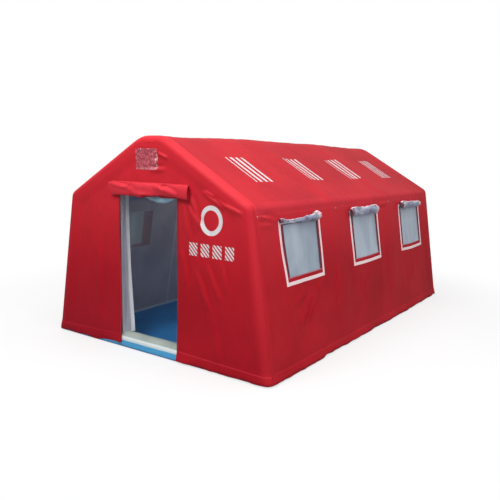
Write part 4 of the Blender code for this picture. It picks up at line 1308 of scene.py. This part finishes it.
# The film glows a little in its own colours: a painted glow.
roll_film.set("Emission Color", roll_film.colour)
roll_film.set("Emission Strength", FILM_GLOW)
edge_tape = cloth("window_cover_tape", TAPE_WHITE, TAPE_SHADE, pitch=0.004)
edge_tape.paint(EDGE_PINK, edge_tape.noise(16, detail=3.0, shift=6.0).step(0.48, 0.62) * 0.7)
header_film = film("window_cover_header_film", FILM_DARK, FILM_PALE, 0.55, 7.0, (0.5, 1.0))
header_film.paint(TAPE_WHITE, header_film.along("Z").step(1.735, 1.745))
strap_web = cloth("strap_webbing", STRAP_GREY, STRAP_GREY, pitch=0.004)

climb, lean = heading(WALL_ANGLE), facing(WALL_ANGLE)
in_tape = TAPE_INSET + TAPE_SEEN
tape_hole = (WINDOW_SILL + in_tape, WINDOW_TOP - TAPE_SEEN)
pane_hole = (PANE_SILL, PANE_TOP)
trims = {"right": [], "left": []}
for name, side in (("right", 1), ("left", -1)):
    outwards = (side * lean[0], 0, lean[1])
    for number, place in enumerate(WINDOW_PLACES, 1):
        window = f"{name}_{number}"
        taped = window_frame(place, side, tape_hole, WINDOW_HALF_WIDTH - in_tape, TAPE_SEEN, TAPE_SEEN,
                             TAPE_SEEN, TAPE_RAISE)
        bound = window_frame(place, side, pane_hole, PANE_HALF_WIDTH, PANE_FOOT_WIDTH, PANE_BINDING,
                             PANE_FOOT_WIDTH, TAPE_RAISE)
        faced = window_frame(place, side, pane_hole, PANE_HALF_WIDTH, FACING_WIDTH, FACING_WIDTH,
                             FACING_TOP, -FACING_DEPTH)
        trims[name] += [
            add_piece(f"window_tape_{window}", [taped], tape, [f"window_frame_{window}"],
                      thickness=TAPE_THICKNESS),
            add_piece(f"pane_binding_{window}", [bound], pane_binding,
                      thickness=TAPE_THICKNESS),
            add_piece(f"window_facing_{window}", [faced], facing_cloth)]
        u = spaced([PANE_SILL - PANE_MARGIN, PANE_TOP + PANE_MARGIN], 0.03)
        y = place + spaced([-PANE_HALF_WIDTH - PANE_MARGIN, PANE_HALF_WIDTH + PANE_MARGIN], 0.016)
        pane = over_cover(u, y, side, -PANE_DEPTH)
        ripple = clouds(pane, (1, 0.11, 1.1), number * 2.7 + side) * PANE_RIPPLE
        pane[..., 0] -= side * (PANE_SLACK + ripple) * rise(u, 1.08, 1.2)[::side, None]
        pane = add_piece(f"insect_mesh_{window}", [pane], mesh_cloth,
                         [f"window_mesh_{window}"])
        y[-1] - y[0]

        to_wall = hung_frame((side * BASE_HALF_WIDTH, place, 0), (0, side, 0),
                             (side * climb[0], 0, climb[1]), outwards)
        body = f"window_roll_{window}_body"
        seed = number * 3.3 + side
        ends, tops, bottoms, fullness = ROLL_SHAPES[number - 1 if side > 0 else 3 - number]
        stations = np.linspace(*ends, len(tops))
        x, high, low, fullness = eased(stations, 50, tops, bottoms, fullness)
        depth = np.minimum(ROLL_DEPTH, (high - low) * 0.72) * fullness
        from_end = np.minimum(x - x[0], x[-1] - x)
        pinch = (high - low) * 0.16 * (1 - rise(from_end, 0, 0.05))
        shape = np.array([x, low + pinch, high - pinch, depth])
        turns = ROLL_SHARE * COVER_DROP / np.mean(shape[2] - shape[1] + depth)
        roll = wound(shape, ROLL_BACK, turns, ROLL_CRUMPLE, seed)
        film_roll = add_piece(f"window_cover_roll_{window}", [placed(roll, to_wall)], roll_film,
                              [f"window_roll_{window}"], body=body)
        bands = [wound(shape[:, at_end], ROLL_BACK, part, ROLL_CRUMPLE, seed, lift=0.0015)
                 for at_end, part in ((x < x[0] + END_TAPES[0], 0.3), (x > x[-1] - END_TAPES[1], 0.97))]
        bands.append(wound(shape, ROLL_BACK, TOP_TAPE, ROLL_CRUMPLE, seed, lift=0.0018, start=-8))
        end_bands = add_piece(f"window_cover_edges_{window}", [placed(rim_highlight, to_wall) for rim_highlight in bands],
                              edge_tape, body=body, thickness=EDGE_THICKNESS)
        straps = [placed(strapped(shape, middle, STRAP_WIDTH, 0.003, 0, ROLL_BACK - 0.002, 0.9, 0.003, -72),
                         to_wall) for middle in STRAP_PLACES]
        strap_pair = add_piece(f"window_straps_{window}", straps, strap_web,
                               thickness=EDGE_THICKNESS)
        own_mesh(strap_pair)
        header = paid_out(f"window_cover_header_{window}", to_wall, x, shape[1] + 0.002, HEADER_TOP,
                          ROLL_BACK, 0.002, header_film)
        ends[1] - ends[0]


# Door curtain: red coated cloth, rolled up flat above the doorway and tied. Its top edge is sewn to
# the front above the roll. Its right end shows the layers.
FLAP_RED = (0.74, 0.036, 0.058, 1)
FLAP_SHADE = (0.66, 0.026, 0.044, 1)
FLAP_UNDER_SHADE = (0.42, 0.012, 0.03, 1)
FLAP_STATIONS = (-0.62, -0.5, -0.3, -0.12, 0.05, 0.2, 0.4, 0.53, 0.618)
FLAP_TOPS = (2.08, 2.084, 2.08, 2.086, 2.086, 2.084, 2.089, 2.091, 2.09)
FLAP_BOTTOMS = (1.917, 1.922, 1.924, 1.904, 1.928, 1.947, 1.941, 1.924, 1.918)
FLAP_DEPTHS = (0.03, 0.045, 0.036, 0.05, 0.052, 0.04, 0.05, 0.055, 0.052)
FLAP_TURNS = 6.5
FLAP_SLANT = 0.065
FLAP_HEADER_TOP = 2.098
FLAP_FOLDS = (
    ((0.08, 2.07), (0.47, 1.975), 0.007, 0.028),
    ((-0.6, 2.07), (-0.2, 2.0), 0.005, 0.022),
    ((-0.28, 1.97), (0.08, 1.955), 0.005, 0.018),
    ((-0.33, 2.095), (-0.29, 1.96), 0.003, 0.016),
    ((0.2, 2.09), (0.25, 1.96), 0.003, 0.018),
)
FLAP_TIES = (-0.31, 0.22)
TIE_WIDTH = 0.016
TIE_THICKNESS = 0.001

flap_low, flap_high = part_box("door_flap_roll")
flap_cloth, flap_roll_cloth = [
    cloth(name, FLAP_RED, FLAP_SHADE, roughness=0.5, pitch=0.003, Specular_IOR_Level=0.15)
    for name in ("door_flap_cloth", "door_flap_roll_cloth")]
flap_x, flap_z = flap_roll_cloth.along("X"), flap_roll_cloth.along("Z")
# Painted shade on the roll's underside, in its middle.
underside_shade = (1 - flap_z.step(1.93, 1.965)) * (1 - abs(flap_x - 0.07).step(0.12, 0.25))
flap_roll_cloth.paint(FLAP_UNDER_SHADE, underside_shade)
flap_frame = hung_frame((0, flap_high.y, 0), (1, 0, 0), (0, 0, 1), (0, -1, 0))
x, high, low, depth = eased(FLAP_STATIONS, 76, FLAP_TOPS, FLAP_BOTTOMS, FLAP_DEPTHS)
shape = (x, low, high, depth)
roll = wound(shape, 0.001, FLAP_TURNS, 0.0035, 2.6)
outer = roll[..., 2] > depth[:, None] / 2
roll[..., 2] += outer * folds(roll[..., 0], roll[..., 1], FLAP_FOLDS)
upward = (roll[..., 1] - min(FLAP_BOTTOMS)) / (max(FLAP_TOPS) - min(FLAP_BOTTOMS))
roll[..., 0] -= FLAP_SLANT * upward * (1 - rise(x, FLAP_STATIONS[0], FLAP_STATIONS[2])[:, None])
flap_roll = add_piece("door_curtain_roll", [placed(roll, flap_frame)], flap_roll_cloth,
                      ["door_flap_roll"], body="door_flap")
ties = [placed(strapped(shape, place, TIE_WIDTH, 0.002, 0.004, 0.0005, 0.95, 0.002, -80), flap_frame)
        for place in FLAP_TIES]
flap_ties = add_piece("door_curtain_ties", ties, flap_cloth, thickness=TIE_THICKNESS)
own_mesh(flap_ties)
inside = np.linspace(FLAP_STATIONS[0] - 0.02, FLAP_STATIONS[-1] - 0.02, 60)
flap_header = paid_out("door_curtain_header", flap_frame, inside, np.interp(inside, x, high) - 0.03,
                       FLAP_HEADER_TOP, 0.012, 0.001, flap_cloth)


# Inner curtain: thin green-white cloth that hangs inside the doorway. It is rolled up behind the
# doorway's top, sags in its middle, and hangs from its sewn edge.
CURTAIN_WHITE = (0.42, 0.66, 0.8, 1)
CURTAIN_SHADE = (0.28, 0.48, 0.62, 1)
CURTAIN_STATIONS = (-0.465, -0.28, -0.1, 0.02, 0.14, 0.24, 0.33, 0.385)
CURTAIN_TOPS = (1.988, 1.98, 1.972, 1.966, 1.962, 1.968, 1.978, 1.988)
CURTAIN_BOTTOMS = (1.945, 1.942, 1.915, 1.876, 1.854, 1.866, 1.905, 1.945)
CURTAIN_DEPTHS = (0.045, 0.05, 0.06, 0.065, 0.068, 0.06, 0.05, 0.045)
CURTAIN_TURNS = 11.0
CURTAIN_HEADER_TOP = 2.01

curtain_low, curtain_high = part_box("inner_curtain_roll")
curtain_cloth = cloth("inner_curtain_cloth", CURTAIN_WHITE, CURTAIN_SHADE, pitch=0.0025, patches=5.0)
curtain_frame = hung_frame((0, curtain_high.y, 0), (1, 0, 0), (0, 0, 1), (0, -1, 0))
x, high, low, depth = eased(CURTAIN_STATIONS, 56, CURTAIN_TOPS, CURTAIN_BOTTOMS, CURTAIN_DEPTHS)
roll = wound((x, low, high, depth), 0.003, CURTAIN_TURNS, 0.008, 6.2)
curtain_roll = add_piece("inner_curtain_roll_cloth", [placed(roll, curtain_frame)], curtain_cloth,
                         ["inner_curtain_roll"], body="inner_curtain")
curtain_header = paid_out("inner_curtain_header", curtain_frame, x[2:-2], high[2:-2] - 0.015,
                          CURTAIN_HEADER_TOP, 0.02, 0.03, curtain_cloth)


# Document pocket: soft clear film, welded along three sides to the front above the doorway. It is
# hazed and puckered, and the red cloth shows through it.
POCKET_DARK = (0.44, 0.065, 0.1, 1)
POCKET_PALE = (0.7, 0.16, 0.2, 1)
POCKET_WHITE = (0.95, 0.76, 0.8, 1)
POCKET_SHIFT = (0.008, -0.015)
POCKET_GLINT = 0.006
POCKET_WELD = 0.012
POCKET_PUFF = 0.007
POCKET_LIFT = 0.002
POCKET_STEP = 0.008

pocket_low, pocket_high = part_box("gable_pocket")
x = spaced([pocket_low.x, pocket_high.x], POCKET_STEP)
z = spaced([pocket_low.z, pocket_high.z], POCKET_STEP)[:, None]
in_by = np.minimum(np.minimum(x - pocket_low.x, pocket_high.x - x), z - pocket_low.z)
at = grid_of(x, 0, z)
puff = rise(in_by, POCKET_WELD, 0.05) * (0.6 + clouds(at, (0.07, 1, 0.06), 3.4)) * POCKET_PUFF
puff += 0.002 * creases(at, (0.05, 1, 0.09), 8.3)
pocket_film = film("pocket_film", POCKET_DARK, POCKET_PALE, 0.66, 3.0, (0.3, 0.75), clouding=34)
film_x, film_z = pocket_film.along("X"), pocket_film.along("Z")
# Painted glints: white reflections flecked along the film's top and right side. The same white is laid
# faintly along its foot.
glints = pocket_film.noise(45, stretch=(0.6, 1, 1), shift=5.0).step(0.56, 0.64)
near_top = film_z.step(pocket_high.z - 5 * POCKET_GLINT, pocket_high.z - 3 * POCKET_GLINT)
near_side = film_x.step(pocket_high.x - 7 * POCKET_GLINT, pocket_high.x - 5 * POCKET_GLINT)
foot_band = (1 - film_z.step(pocket_low.z + 0.005, pocket_low.z + 0.013)) * 0.12
pocket_film.paint(POCKET_WHITE, (glints * near_top.at_least(near_side)).at_least(foot_band))
welded = on_gable(x + POCKET_SHIFT[0], z + POCKET_SHIFT[1], lift=POCKET_LIFT + puff)
pocket = add_piece("document_pocket", [welded], pocket_film, ["gable_pocket"])
